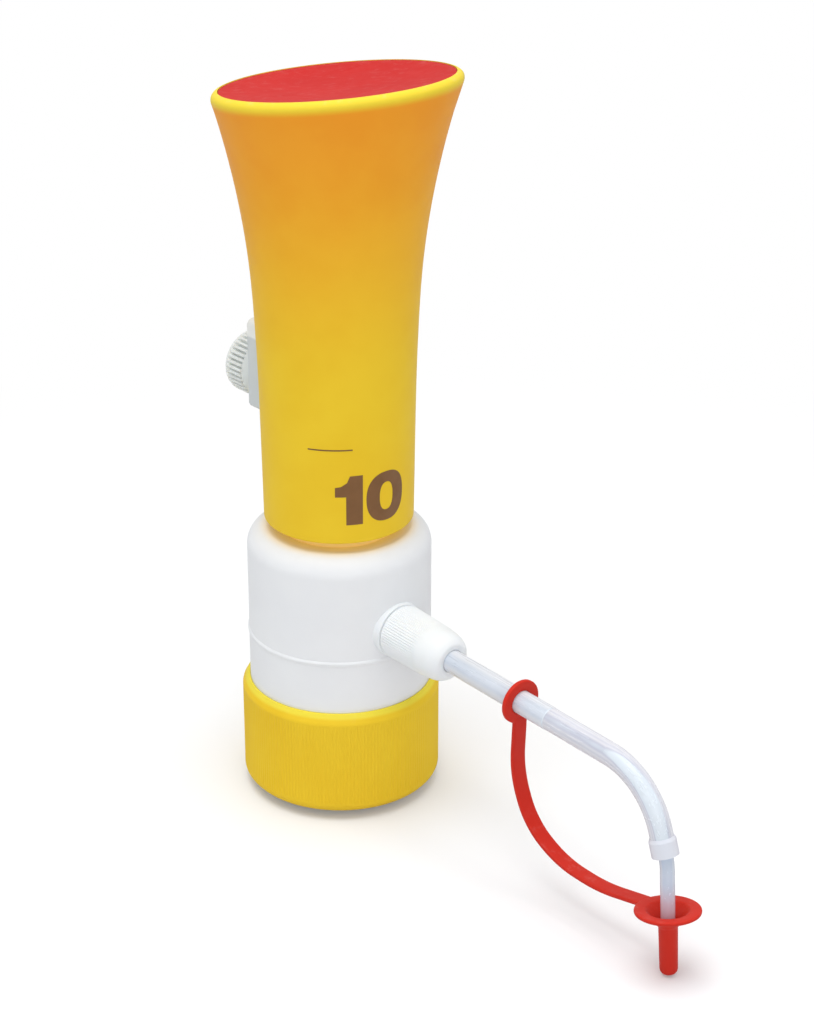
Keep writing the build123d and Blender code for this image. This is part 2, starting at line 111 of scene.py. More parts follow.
# %% Small parts of a shader tree
def object_place(tree):
    """The object coordinates in a tree."""
    return tree.nodes.new("ShaderNodeTexCoord").outputs["Object"]


def place_parts(tree):
    """The X, Y and Z of the object coordinates, as the outputs of one node."""
    parts = tree.nodes.new("ShaderNodeSeparateXYZ")
    tree.links.new(object_place(tree), parts.inputs[0])
    return parts.outputs


def mixed_shader(tree, factor, first, second):
    """A mix of two shaders."""
    node = tree.nodes.new("ShaderNodeMixShader")
    for slot, socket in zip(node.inputs, (factor, first, second)):
        tree.links.new(socket, slot)
    return node.outputs[0]


def noise(tree, place, scale, detail, roughness=0.5):
    """A noise texture in a tree, read at place."""
    texture = tree.nodes.new("ShaderNodeTexNoise")
    texture.inputs["Detail"].default_value = detail
    texture.inputs["Roughness"].default_value = roughness
    tree.links.new(place, texture.inputs["Vector"])
    if isinstance(scale, (int, float)):
        texture.inputs["Scale"].default_value = scale
    else:
        tree.links.new(scale, texture.inputs["Scale"])
    return texture.outputs["Fac"]


def maths(tree, operation, first, second=None, clamp=False):
    """A Math node in a tree; each value is a number or a socket."""
    node = tree.nodes.new("ShaderNodeMath")
    node.operation = operation
    node.use_clamp = clamp
    for slot, value in zip(node.inputs, (first, second)):
        if isinstance(value, (int, float)):
            slot.default_value = value
        elif value is not None:
            tree.links.new(value, slot)
    return node.outputs[0]


def span(tree, value, low, high, to_low=0.0, to_high=1.0):
    """Value mapped from low..high to to_low..to_high, smoothly."""
    node = tree.nodes.new("ShaderNodeMapRange")
    node.interpolation_type = "SMOOTHSTEP"
    for label, number in (("From Min", low), ("From Max", high), ("To Min", to_low), ("To Max", to_high)):
        node.inputs[label].default_value = number
    tree.links.new(value, node.inputs["Value"])
    return node.outputs["Result"]


def blend_colours(tree, factor, first, second):
    """A colour mix; factor, first and second are sockets or plain values."""
    node = tree.nodes.new("ShaderNodeMix")
    node.data_type = "RGBA"
    node.clamp_factor = True
    for slot, value in ((node.inputs[0], factor), (node.inputs[6], first), (node.inputs[7], second)):
        if isinstance(value, (int, float, tuple)):
            slot.default_value = value
        else:
            tree.links.new(value, slot)
    return node.outputs[2]


def stretched(tree, place, scale, rotation=(0.0, 0.0, 0.0)):
    """Place turned and scaled, which draws a noise out into streaks."""
    mapping = tree.nodes.new("ShaderNodeMapping")
    mapping.inputs["Rotation"].default_value = rotation
    mapping.inputs["Scale"].default_value = scale
    tree.links.new(place, mapping.inputs["Vector"])
    return mapping.outputs["Vector"]


def bump_node(tree, height, strength, distance):
    """A Bump node over a height; the distance is in millimetres."""
    node = tree.nodes.new("ShaderNodeBump")
    node.inputs["Strength"].default_value = strength
    node.inputs["Distance"].default_value = distance * mm
    tree.links.new(height, node.inputs["Height"])
    return node


def new_material(name):
    """A material with nodes; returns it, its tree and its Principled shader."""
    material = bpy.data.materials.new(name)
    material.use_nodes = True
    return material, material.node_tree, material.node_tree.nodes["Principled BSDF"]


print("shader helpers ready")

# %% [markdown]
# ## Floor, world and lamps
# Pale plastic on a pale ground needs soft light: one wide lamp overhead makes the shoulder and the
# lip bright, and a weaker one at the side keeps the shadows open.  The world does the rest.  The
# ground should look white without pouring light on the object, so the world shows a plain white only
# to the rays that the camera or a clear tube sends out.

# %% Soft studio light
scene = bpy.context.scene
scene.view_settings.view_transform = "Standard"

world = bpy.data.worlds.new("soft_room")
scene.world = world
world.use_nodes = True
tree = world.node_tree
tree.nodes.clear()
backgrounds = []
for colour, strength in (((0.985, 0.99, 1.0, 1.0), 0.70), ((1.0, 1.0, 1.0, 1.0), 1.0)):
    background = tree.nodes.new("ShaderNodeBackground")
    background.inputs["Color"].default_value = colour
    background.inputs["Strength"].default_value = strength
    backgrounds.append(background.outputs[0])
path = tree.nodes.new("ShaderNodeLightPath")
shown = maths(tree, "MAXIMUM", path.outputs["Is Camera Ray"], path.outputs["Is Transmission Ray"])
world_out = tree.nodes.new("ShaderNodeOutputWorld")
tree.links.new(mixed_shader(tree, shown, *backgrounds), world_out.inputs["Surface"])


def soft_lamp(name, place, size, power, colour):
    """A square area lamp at a place, aimed at the object's middle."""
    data = bpy.data.lights.new(name, "AREA")
    data.shape = "SQUARE"
    data.size = size
    data.energy = power
    data.color = colour
    lamp = bpy.data.objects.new(name, data)
    lamp.location = place
    lamp.rotation_euler = (lamp_aim - Vector(place)).to_track_quat("-Z", "Y").to_euler()
    scene.collection.objects.link(lamp)


lamp_aim = Vector((0.03, 0.0, 0.10))
soft_lamp("overhead_lamp", (0.05, -0.15, 1.25), 0.9, 10.5, (1.0, 1.0, 1.0))
soft_lamp("side_lamp", (1.08, -0.67, 0.65), 0.8, 3.0, (1.0, 0.985, 0.965))

# %% [markdown]
# The floor is one large square.  The lowest point of the object is the cap's finger, which hangs a
# little below the ring when no bottle is there, so the floor lies just under the finger.  Near the
# object the floor is a pale paint that takes a shadow.  Farther out the lamps fade, so for the camera
# the paint gives way to an even white and the ground runs into the world without a line.

# %% Floor
floor_height = -2.2 * mm
floor_middle = (0.05, -0.02, floor_height)
fade_start, fade_end = 0.14, 0.36
floor_lift = 0.14
floor_mesh = bmesh.new()
bmesh.ops.create_grid(floor_mesh, x_segments=1, y_segments=1, size=6.0)
bmesh.ops.translate(floor_mesh, verts=floor_mesh.verts, vec=(0, 0, floor_height))
floor_data = bpy.data.meshes.new("studio_floor")
floor_mesh.to_mesh(floor_data)
floor_mesh.free()
floor = bpy.data.objects.new("studio_floor", floor_data)
scene.collection.objects.link(floor)

floor_material, tree, _ = new_material("pale_floor")
tree.nodes.clear()
paint = tree.nodes.new("ShaderNodeBsdfDiffuse")
paint.inputs["Color"].default_value = (0.735, 0.74, 0.75, 1.0)
camera_ray = tree.nodes.new("ShaderNodeLightPath").outputs["Is Camera Ray"]
lift = tree.nodes.new("ShaderNodeEmission")
tree.links.new(maths(tree, "MULTIPLY", camera_ray, floor_lift), lift.inputs["Strength"])
lifted_paint = tree.nodes.new("ShaderNodeAddShader")
tree.links.new(paint.outputs[0], lifted_paint.inputs[0])
tree.links.new(lift.outputs[0], lifted_paint.inputs[1])
far_white = tree.nodes.new("ShaderNodeEmission")
far_white.inputs["Strength"].default_value = 1.0
from_middle = tree.nodes.new("ShaderNodeVectorMath")
from_middle.operation = "DISTANCE"
from_middle.inputs[1].default_value = floor_middle
tree.links.new(object_place(tree), from_middle.inputs[0])
farness = span(tree, from_middle.outputs["Value"], fade_start, fade_end)
seen_far = maths(tree, "MULTIPLY", farness, camera_ray)
ground = mixed_shader(tree, seen_far, lifted_paint.outputs[0], far_white.outputs[0])
floor_out = tree.nodes.new("ShaderNodeOutputMaterial")
tree.links.new(ground, floor_out.inputs["Surface"])
floor_data.materials.append(floor_material)
print("floor at", round(floor_height / mm, 2), "mm")

# %% [markdown]
# ## Shared surface effects
# Moulded plastic is never one flat colour.  The pigment clouds a little, the mould's skin leaves a
# fine grain, and the gloss wanders with it.  Several finishes need the same recipe with other
# numbers, so the recipe is a node group: the group puts out a colour, a roughness and a normal, and
# each material keeps its own shader.

# %% Node group for a moulded skin
def new_group(name, inputs, outputs):
    """An empty shader group with its sockets; returns the group and its two end nodes."""
    group = bpy.data.node_groups.new(name, "ShaderNodeTree")
    for label, kind, value in inputs:
        socket = group.interface.new_socket(name=label, in_out="INPUT", socket_type=kind)
        if value is not None:
            socket.default_value = value
    for label, kind in outputs:
        group.interface.new_socket(name=label, in_out="OUTPUT", socket_type=kind)
    return group, group.nodes.new("NodeGroupInput"), group.nodes.new("NodeGroupOutput")


moulded_skin, skin_in, skin_out = new_group(
    "moulded_skin",
    [
        ("Colour", "NodeSocketColor", (0.8, 0.8, 0.8, 1.0)),
        ("Cloud Colour", "NodeSocketColor", (0.7, 0.7, 0.7, 1.0)),
        ("Cloud Scale", "NodeSocketFloat", 60.0),
        ("Grain Scale", "NodeSocketFloat", 2600.0),
        ("Grain Depth", "NodeSocketFloat", 0.1),
        ("Roughness", "NodeSocketFloat", 0.4),
        ("Roughness Spread", "NodeSocketFloat", 0.1),
    ],
    [("Colour", "NodeSocketColor"), ("Roughness", "NodeSocketFloat"), ("Normal", "NodeSocketVector")],
)
coordinates = object_place(moulded_skin)
cloud = noise(moulded_skin, coordinates, skin_in.outputs["Cloud Scale"], 3.0)
cloud_mask = span(moulded_skin, cloud, 0.35, 0.68)
colour = blend_colours(moulded_skin, cloud_mask, skin_in.outputs["Colour"], skin_in.outputs["Cloud Colour"])
moulded_skin.links.new(colour, skin_out.inputs["Colour"])
gloss_scale = maths(moulded_skin, "MULTIPLY", skin_in.outputs["Cloud Scale"], 5.0)
gloss_noise = noise(moulded_skin, coordinates, gloss_scale, 4.0, 0.6)
gloss_offset = maths(moulded_skin, "SUBTRACT", gloss_noise, 0.5)
gloss_change = maths(moulded_skin, "MULTIPLY", gloss_offset, skin_in.outputs["Roughness Spread"])
gloss_sum = maths(moulded_skin, "ADD", gloss_change, skin_in.outputs["Roughness"])
moulded_skin.links.new(gloss_sum, skin_out.inputs["Roughness"])
grain = noise(moulded_skin, coordinates, skin_in.outputs["Grain Scale"], 2.0, 0.6)
grain_bump = bump_node(moulded_skin, grain, 1.0, 0.05)
moulded_skin.links.new(skin_in.outputs["Grain Depth"], grain_bump.inputs["Strength"])
moulded_skin.links.new(grain_bump.outputs["Normal"], skin_out.inputs["Normal"])
print("group", moulded_skin.name, "has", len(moulded_skin.nodes), "nodes")

# %% [markdown]
# A tool that is picked up every day gets hair-fine scratches.  Stretched noise gives lines: the
# coordinates are squeezed along one direction, so each blob becomes a long streak, and only the
# noise's narrow peaks are kept.  Two crossing sets look less like brushing and more like use.

# %% Node group for fine scratches
fine_scratches, scratch_in, scratch_out = new_group(
    "fine_scratches",
    [("Scale", "NodeSocketFloat", 120.0), ("Amount", "NodeSocketFloat", 0.5)],
    [("Mask", "NodeSocketFloat")],
)
coordinates = object_place(fine_scratches)
streaks = []
for turn_angle, stretch in ((28.0, 0.06), (-57.0, 0.09)):
    turn = math.radians(turn_angle)
    drawn_out = stretched(fine_scratches, coordinates, (1.0, stretch, 1.0), (turn, 0.35, 1.7 * turn))
    streak = noise(fine_scratches, drawn_out, scratch_in.outputs["Scale"], 5.0, 0.75)
    streaks.append(span(fine_scratches, streak, 0.66, 0.74))
either = maths(fine_scratches, "MAXIMUM", streaks[0], streaks[1])
patches = span(fine_scratches, noise(fine_scratches, coordinates, 45.0, 2.0), 0.42, 0.62)
patchy = maths(fine_scratches, "MULTIPLY", either, patches)
amount = maths(fine_scratches, "MULTIPLY", patchy, scratch_in.outputs["Amount"], clamp=True)
fine_scratches.links.new(amount, scratch_out.inputs["Mask"])
print("group", fine_scratches.name, "has", len(fine_scratches.nodes), "nodes")

# %% [markdown]
# Dust settles on what faces up and stays away from what is wiped.  The mask is the upward share of
# the surface's normal times a patchy noise, so it lies on shoulders and ledges and nowhere else.

# %% Node group for settled dust
settled_dust, dust_in, dust_out = new_group(
    "settled_dust",
    [("Scale", "NodeSocketFloat", 400.0), ("Amount", "NodeSocketFloat", 0.3)],
    [("Mask", "NodeSocketFloat")],
)
coordinates = object_place(settled_dust)
facing = settled_dust.nodes.new("ShaderNodeSeparateXYZ")
settled_dust.links.new(settled_dust.nodes.new("ShaderNodeNewGeometry").outputs["Normal"], facing.inputs[0])
upward = span(settled_dust, facing.outputs["Z"], 0.35, 1.0)
specks = span(settled_dust, noise(settled_dust, coordinates, dust_in.outputs["Scale"], 6.0, 0.7), 0.5, 0.72)
lying = maths(settled_dust, "MULTIPLY", upward, specks)
dust = maths(settled_dust, "MULTIPLY", lying, dust_in.outputs["Amount"], clamp=True)
settled_dust.links.new(dust, dust_out.inputs["Mask"])
print("group", settled_dust.name, "has", len(settled_dust.nodes), "nodes")

# %% [markdown]
# ## Finishes
# Each finish is one Principled shader fed by the groups.  A value that is the same all over the
# surface, such as the specular level, is set straight on the shader's socket.  Only what varies comes
# through a link.

# %% A plastic finish from the shared groups
dust_colour = screen_colour(214, 212, 206)


def group_node(tree, group, **values):
    """A copy of a group in a material's tree with its own values."""
    node = tree.nodes.new("ShaderNodeGroup")
    node.node_tree = group
    for label, value in values.items():
        node.inputs[label.replace("_", " ")].default_value = value
    return node


def plastic(name, colour, cloud_colour, roughness, spread=0.1, grain_depth=0.15, scratches=0.3, dust=0.15,
            specular=0.4, subsurface=0.0):
    """A moulded plastic; returns the material, its shader and its skin group for further links."""
    material, tree, shader = new_material(name)
    skin = group_node(tree, moulded_skin, Colour=colour, Cloud_Colour=cloud_colour, Grain_Depth=grain_depth,
                      Roughness=roughness, Roughness_Spread=spread)
    worn = group_node(tree, fine_scratches, Amount=scratches)
    dusty = group_node(tree, settled_dust, Amount=dust)
    dusted = blend_colours(tree, dusty.outputs["Mask"], skin.outputs["Colour"], dust_colour)
    tree.links.new(dusted, shader.inputs["Base Color"])
    scuffed = maths(tree, "MULTIPLY", worn.outputs["Mask"], 0.25)
    rough = maths(tree, "ADD", skin.outputs["Roughness"], scuffed, clamp=True)
    tree.links.new(rough, shader.inputs["Roughness"])
    scratch_bump = bump_node(tree, worn.outputs["Mask"], 0.25, 0.03)
    scratch_bump.invert = True
    tree.links.new(skin.outputs["Normal"], scratch_bump.inputs["Normal"])
    tree.links.new(scratch_bump.outputs["Normal"], shader.inputs["Normal"])
    shader.inputs["Specular IOR Level"].default_value = specular
    if subsurface:
        shader.inputs["Subsurface Weight"].default_value = subsurface
        shader.inputs["Subsurface Radius"].default_value = (1.0, 0.8, 0.6)
        shader.inputs["Subsurface Scale"].default_value = 1.5 * mm
    return material, shader, skin


def recolour(tree, skin, mask, colours, over):
    """Leads both colours of a skin through a mix with another colour, by a mask."""
    for socket, colour in zip(("Colour", "Cloud Colour"), colours):
        tree.links.new(blend_colours(tree, mask, colour, over), skin.inputs[socket])


# %% [markdown]
# The ring and the handle are the same yellow plastic.  Towards its flared end the handle is painted
# orange: painted shade under the flare and the red lid's light painted through the translucent wall.
# The skin's two colours are led through a mix that follows the height on the handle.  The rounded lip
# is painted clear yellow again as a painted highlight.  It is cut at a slant, so its mask uses the
# height measured from the slant.

# %% Yellow finishes
yellows = ((0.785, 0.535, 0.026, 1.0), (0.765, 0.505, 0.022, 1.0))
shade_oranges = ((0.815, 0.325, 0.022, 1.0), (0.80, 0.30, 0.019, 1.0))
highlight_yellow = (0.80, 0.66, 0.055, 1.0)
lip_highlight_share = 0.65
bevel_low = 27.2 * mm
bevel_high = 28.2 * mm
flare_shade_low = 110 * mm
flare_shade_high = 188 * mm
lip_start = 184.8 * mm
lip_end = 187.4 * mm
lip_slope = 0.135

ring_yellow, _, ring_skin = plastic("ring_yellow", *yellows, roughness=0.55, grain_depth=0.35, scratches=0.2,
                                    specular=0.09)
tree = ring_yellow.node_tree
# The ring's upward bevel is painted a lighter yellow: a painted highlight.
bevel_highlight = span(tree, place_parts(tree)["Z"], bevel_low, bevel_high)
recolour(tree, ring_skin, bevel_highlight, yellows, highlight_yellow)

handle_yellow, _, handle_skin = plastic("handle_yellow", *yellows, roughness=0.5, spread=0.14, grain_depth=0.3,
                                        scratches=0.35, specular=0.09)
tree = handle_yellow.node_tree
parts = place_parts(tree)
# The mask deep marks where the yellow is painted orange, as painted shade and the lid's red light; the lip is kept
# out of it.
waver = maths(tree, "MULTIPLY", maths(tree, "SUBTRACT", noise(tree, object_place(tree), 25.0, 2.0), 0.5), 12 * mm)
deep = span(tree, maths(tree, "ADD", parts["Z"], waver), flare_shade_low, flare_shade_high)
slanted = maths(tree, "SUBTRACT", parts["Z"], maths(tree, "MULTIPLY", parts["X"], lip_slope))
under_lip = span(tree, slanted, lip_start, lip_end, 1.0, 0.0)
flare_shade_mask = maths(tree, "MULTIPLY", deep, under_lip)
shaded_yellows = [blend_colours(tree, flare_shade_mask, low, high) for low, high in zip(yellows, shade_oranges)]
# The rounded lip is painted a lighter yellow: a painted highlight.
lip_highlight = maths(tree, "MULTIPLY", maths(tree, "SUBTRACT", 1.0, under_lip), lip_highlight_share)
recolour(tree, handle_skin, lip_highlight, shaded_yellows, highlight_yellow)
print("handle deepens between", flare_shade_low / mm, "and", flare_shade_high / mm, "mm")

# %% [markdown]
# The white parts are three plastics that look alike from afar: a cool matt housing, a warmer knob
# and clamp, and a waxy fluoropolymer nut.  Small differences in tint and gloss tell them apart.
# A little subsurface scattering gives the waxy ones their soft edges.  The clamp's saddle is painted
# a little greyer as painted shade, and the bar along its upper end is painted paler as a painted highlight.

# %% White and grey finishes
housing_colours = ((0.765, 0.78, 0.795, 1.0), (0.745, 0.76, 0.78, 1.0))
nut_colours = ((0.79, 0.815, 0.83, 1.0), (0.77, 0.8, 0.815, 1.0))
knob_colours = ((0.73, 0.76, 0.735, 1.0), (0.69, 0.72, 0.705, 1.0))
saddle_shade_colours = ((0.58, 0.62, 0.63, 1.0), (0.55, 0.59, 0.605, 1.0))
bar_highlight_colour = (0.78, 0.80, 0.785, 1.0)
bar_low = 118.4 * mm
bar_high = 119.2 * mm
fluoro_colours = (screen_colour(226, 228, 228), screen_colour(220, 222, 222))
guard_colours = ((0.72, 0.72, 0.70, 1.0), (0.68, 0.68, 0.67, 1.0))

housing_white, housing_shader, housing_skin = plastic("housing_white", *housing_colours, roughness=0.5,
                                                      grain_depth=0.25, specular=0.22)
nut_white, _, _ = plastic("nut_white", *nut_colours, roughness=0.45, grain_depth=0.2, specular=0.2, subsurface=0.1)
knob_white, _, _ = plastic("knob_white", *knob_colours, roughness=0.36, grain_depth=0.2, scratches=0.5, dust=0.3,
                           subsurface=0.08)
saddle_painted_shade, _, saddle_skin = plastic("saddle_painted_shade", *saddle_shade_colours, roughness=0.4, grain_depth=0.2,
                                       scratches=0.4, dust=0.2)
# The saddle's greyer colours are painted shade; the mask on its upper bar paints it paler as a painted highlight.
tree = saddle_painted_shade.node_tree
bar_highlight_mask = span(tree, place_parts(tree)["Z"], bar_low, bar_high)
recolour(tree, saddle_skin, bar_highlight_mask, saddle_shade_colours, bar_highlight_colour)
fluoro_white, _, _ = plastic("fluoro_white", *fluoro_colours, roughness=0.36, grain_depth=0.1, subsurface=0.15)
guard_pale, guard_shader, guard_skin = plastic("guard_pale", *guard_colours, roughness=0.42, specular=0.2)
print("white finishes made")

# %% [markdown]
# The yellow handle is a little translucent, so light that has passed its wall tints the pale parts
# right below it.  The tint is strongest on the collar in the gap and fades outwards over the top of
# the housing, so its mask is made from the distance to the axis and from the height.

# %% Yellow glow under the handle
glow_yellow = (0.95, 0.66, 0.16, 1.0)
glow_light = 0.22


def add_glow(material, shader, skin, colours, strength, fade, heights):
    """Mixes the glow into a skin, by the distance to the axis and between two heights, in millimetres."""
    tree = material.node_tree
    parts = place_parts(tree)
    squares = [maths(tree, "MULTIPLY", parts[axis], parts[axis]) for axis in ("X", "Y")]
    distance = maths(tree, "SQRT", maths(tree, "ADD", squares[0], squares[1]))
    near = span(tree, distance, fade[0] * mm, fade[1] * mm, strength, 0.0)
    above = span(tree, parts["Z"], heights[0] * mm, (heights[0] + 1.0) * mm)
    below = span(tree, parts["Z"], heights[1] * mm, (heights[1] + 2.0) * mm, 1.0, 0.0)
    mask = maths(tree, "MULTIPLY", near, maths(tree, "MULTIPLY", above, below))
    recolour(tree, skin, mask, colours, glow_yellow)
    shader.inputs["Emission Color"].default_value = glow_yellow
    tree.links.new(maths(tree, "MULTIPLY", mask, glow_light), shader.inputs["Emission Strength"])


add_glow(housing_white, housing_shader, housing_skin, housing_colours, 0.85, (15.0, 21.5), (70.6, 80.0))
add_glow(guard_pale, guard_shader, guard_skin, guard_colours, 0.8, (17.0, 19.0), (70.0, 76.5))
print("glow added to the housing and the guard")

# %% [markdown]
# The lid, the cap and its strap are red.  The lid is harder and picks up long pale scuffs from the
# palm; the cap and the strap are a softer, duller polyethylene.

# %% Red finishes
lid_red, _, _ = plastic("lid_red", (0.515, 0.02, 0.017, 1.0), (0.49, 0.016, 0.014, 1.0), roughness=0.55,
                        spread=0.16, scratches=0.5, dust=0.05, specular=0.06)
cap_red, _, _ = plastic("cap_red", (0.56, 0.024, 0.012, 1.0), (0.53, 0.02, 0.01, 1.0), roughness=0.5,
                        grain_depth=0.2, dust=0.05, specular=0.14)
print("red finishes made")

# %% [markdown]
# The jet is a translucent fluoropolymer: milky rather than clear.  In the middle of such a tube the
# bluish bore is seen through the wall, and towards its edges only the thick wall is left, parted
# from the core by a thin dark line.  Layer Weight knows how far a point of the surface turns away
# from the eye, so a ramp on it paints those bands in the right place from every side.  Fine
# extrusion streaks run along the tube in the roughness and in a faint bump.

# %% Translucent tube finishes
def milky_tube(name, bands, transmission, roughness, streak_depth):
    """A translucent plastic tube; bands are (place from the middle to the edge, colour)."""
    material, tree, shader = new_material(name)
    place = object_place(tree)
    turned_away = tree.nodes.new("ShaderNodeLayerWeight")
    turned_away.inputs["Blend"].default_value = 0.5
    ramp = tree.nodes.new("ShaderNodeValToRGB")
    stops = ramp.color_ramp.elements
    while len(stops) < len(bands):
        stops.new(0.5)
    for stop, (position, colour) in zip(stops, bands):
        stop.position = position
        stop.color = (*colour, 1.0)
    waver = maths(tree, "SUBTRACT", noise(tree, place, 90.0, 3.0), 0.5)
    unsteady = maths(tree, "MULTIPLY", waver, 0.05)
    tree.links.new(maths(tree, "ADD", turned_away.outputs["Facing"], unsteady), ramp.inputs["Fac"])
    cloud = span(tree, noise(tree, place, 130.0, 4.0), 0.35, 0.7, 0.0, 0.3)
    clouded = blend_colours(tree, cloud, ramp.outputs["Color"], (0.76, 0.79, 0.86, 1.0))
    tree.links.new(clouded, shader.inputs["Base Color"])
    streak = noise(tree, stretched(tree, place, (0.05, 1.0, 0.35)), 1500.0, 3.0, 0.6)
    streaky = span(tree, streak, 0.2, 0.8, roughness - 0.06, roughness + 0.08)
    tree.links.new(streaky, shader.inputs["Roughness"])
    bump = bump_node(tree, streak, streak_depth, 0.03)
    tree.links.new(bump.outputs["Normal"], shader.inputs["Normal"])
    shader.inputs["IOR"].default_value = 1.35
    shader.inputs["Transmission Weight"].default_value = transmission
    shader.inputs["Specular IOR Level"].default_value = 0.5
    return material


# The last stop of each ramp paints the tube darker towards its outline, as painted shade.
jet_bands = [
    (0.0, (0.70, 0.76, 0.83)),
    (0.16, (0.68, 0.74, 0.82)),
    (0.27, (0.57, 0.63, 0.72)),
    (0.40, (0.70, 0.73, 0.78)),
    (0.80, (0.71, 0.73, 0.78)),
    (1.0, (0.54, 0.56, 0.64)),
]
jacket_bands = [
    (0.0, (0.72, 0.79, 0.85)),
    (0.17, (0.70, 0.77, 0.84)),
    (0.215, (0.52, 0.54, 0.64)),
    (0.27, (0.72, 0.73, 0.79)),
    (0.36, (0.61, 0.62, 0.70)),
    (0.44, (0.75, 0.75, 0.80)),
    (0.75, (0.71, 0.71, 0.77)),
    (1.0, (0.48, 0.47, 0.57)),
]
liner_bands = [
    (0.0, (0.60, 0.69, 0.81)),
    (0.25, (0.56, 0.65, 0.79)),
    (0.45, (0.68, 0.74, 0.83)),
    (1.0, (0.37, 0.40, 0.56)),
]
frosted_bands = [
    (0.0, (0.68, 0.71, 0.78)),
    (0.5, (0.73, 0.73, 0.79)),
    (1.0, (0.54, 0.53, 0.63)),
]
jet_milky = milky_tube("jet_milky", jet_bands, 0.10, 0.28, 0.15)
jacket_milky = milky_tube("jacket_milky", jacket_bands, 0.12, 0.24, 0.15)
liner_milky = milky_tube("liner_milky", liner_bands, 0.15, 0.22, 0.1)
collar_frosted = milky_tube("collar_frosted", frosted_bands, 0.08, 0.42, 0.3)
print("tube finishes made")

# %% [markdown]
# The tip stands in the red cap, so a little of the cap's colour shines through its lowest part.

# %% Tint of the tip
tint_full = 16.0 * mm
tint_end = 23.5 * mm
tint_share = 0.45
tint_colour = (0.84, 0.53, 0.60, 1.0)
tree = liner_milky.node_tree
shader = tree.nodes["Principled BSDF"]
milky = shader.inputs["Base Color"].links[0].from_socket
in_cap = span(tree, place_parts(tree)["Z"], tint_full, tint_end, tint_share, 0.0)
tree.links.new(blend_colours(tree, in_cap, milky, tint_colour), shader.inputs["Base Color"])
print("the tip is tinted below", round(tint_end / mm, 1), "mm")

# %% [markdown]
# The rest is inside: glass, ceramic balls, turned steel and black rubber.  They show through the
# slot, from below or when the handle is up, so they get finishes of their own as well.

# %% Finishes of the inner parts
def inner_finish(name, colour, roughness, metallic=0.0, transmission=0.0, turned_lines=0.0, ior=1.5):
    """A plain hard finish with fine wander in its gloss and, if asked, the lines of a lathe."""
    material, tree, shader = new_material(name)
    place = object_place(tree)
    wander = noise(tree, place, 220.0, 4.0, 0.6)
    darker = tuple(0.9 * c for c in colour[:3]) + (1.0,)
    mottled = blend_colours(tree, span(tree, wander, 0.35, 0.7), colour, darker)
    tree.links.new(mottled, shader.inputs["Base Color"])
    uneven = span(tree, wander, 0.2, 0.8, 0.8 * roughness, 1.25 * roughness)
    tree.links.new(uneven, shader.inputs["Roughness"])
    if turned_lines:
        lines = noise(tree, stretched(tree, place, (0.02, 0.02, 1.0)), 4200.0, 2.0)
        bump = bump_node(tree, lines, turned_lines, 0.02)
        tree.links.new(bump.outputs["Normal"], shader.inputs["Normal"])
    shader.inputs["Metallic"].default_value = metallic
    shader.inputs["Transmission Weight"].default_value = transmission
    shader.inputs["IOR"].default_value = ior
    return material


barrel_glass = inner_finish("barrel_glass", (0.93, 0.97, 0.97, 1.0), 0.03, transmission=0.95, ior=1.47)
ball_ceramic = inner_finish("ball_ceramic", screen_colour(238, 236, 230), 0.12)
rod_steel = inner_finish("rod_steel", (0.62, 0.62, 0.63, 1.0), 0.24, metallic=1.0, turned_lines=0.4)
spring_steel = inner_finish("spring_steel", (0.6, 0.6, 0.6, 1.0), 0.3, metallic=1.0)
seal_black = inner_finish("seal_black", screen_colour(40, 40, 43), 0.55)
print("inner finishes made")

# %% [markdown]
# A solid whose shape is already right keeps its mesh and only takes a finish.  Its object stays
# where the frame put it.

# %% Dress the solids
solid_finishes = [
    (housing_white, "lower_housing upper_housing"),
    (fluoro_white, "valve_block retaining_flange suction_valve_seat cylinder_seal glass_cushion"),
    (fluoro_white, "discharge_valve_seat piston_head"),
    (guard_pale, "barrel_guard rod_nut"),
    (seal_black, "neck_gasket piston_seals"),
    (barrel_glass, "glass_cylinder"),
    (ball_ceramic, "suction_ball discharge_ball"),
    (spring_steel, "discharge_spring"),
    (rod_steel, "piston_rod clamp_stud"),
    (knob_white, "volume_knob stop_lug"),
    (saddle_painted_shade, "slider_saddle"),
    (jet_milky, "jet_tube"),
    (jacket_milky, "jet_jacket"),
    (liner_milky, "delivery_tube"),
    (collar_frosted, "jet_end_collar"),
    (ring_yellow, "bottle_ring"),
    (handle_yellow, "handle_sleeve"),
    (lid_red, "handle_lid"),
    (nut_white, "union_nut"),
    (cap_red, "closure_cap cap_tether"),
]
dressed = 0
for finish, names in solid_finishes:
    for name in names.split():
        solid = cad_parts[name]
        if not solid.material_slots:
            solid.data.materials.append(finish)
        for material_slot in solid.material_slots:
            material_slot.material = finish
        dressed += 1
print("finishes on", dressed, "of", len(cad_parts), "solids")

# %% [markdown]
# ## Turning a piece
# Most of these parts are round, as turned or moulded parts are.  The classic way is a lathe: draw
# half of the section and spin it about the axis.  The section is first made a flat face, because a
# vertex bevel can then round each corner by its own radius; the face is thrown away and its outline
# is spun.  A section may also touch the axis, and there the spin's doubles are merged to a pole.

# %% The lathe
def rounded(bm, geom, offset, segments, affect="EDGES"):
    """Rounds edges or corners of a mesh; the offset is in millimetres."""
    bmesh.ops.bevel(bm, geom=geom, offset=offset * mm, offset_type="OFFSET", segments=segments, profile=0.5,
                    affect=affect, clamp_overlap=True, material=-1)


def sliced(bm, place, normal):
    """Cuts off what lies beyond a plane and leaves the cut open."""
    bmesh.ops.bisect_plane(bm, geom=bm.verts[:] + bm.edges[:] + bm.faces[:], dist=1e-7, plane_co=place,
                           plane_no=normal, clear_outer=True)


def closed(bm):
    """Fills the open ends of a mesh."""
    bmesh.ops.holes_fill(bm, edges=[e for e in bm.edges if e.is_boundary], sides=0)


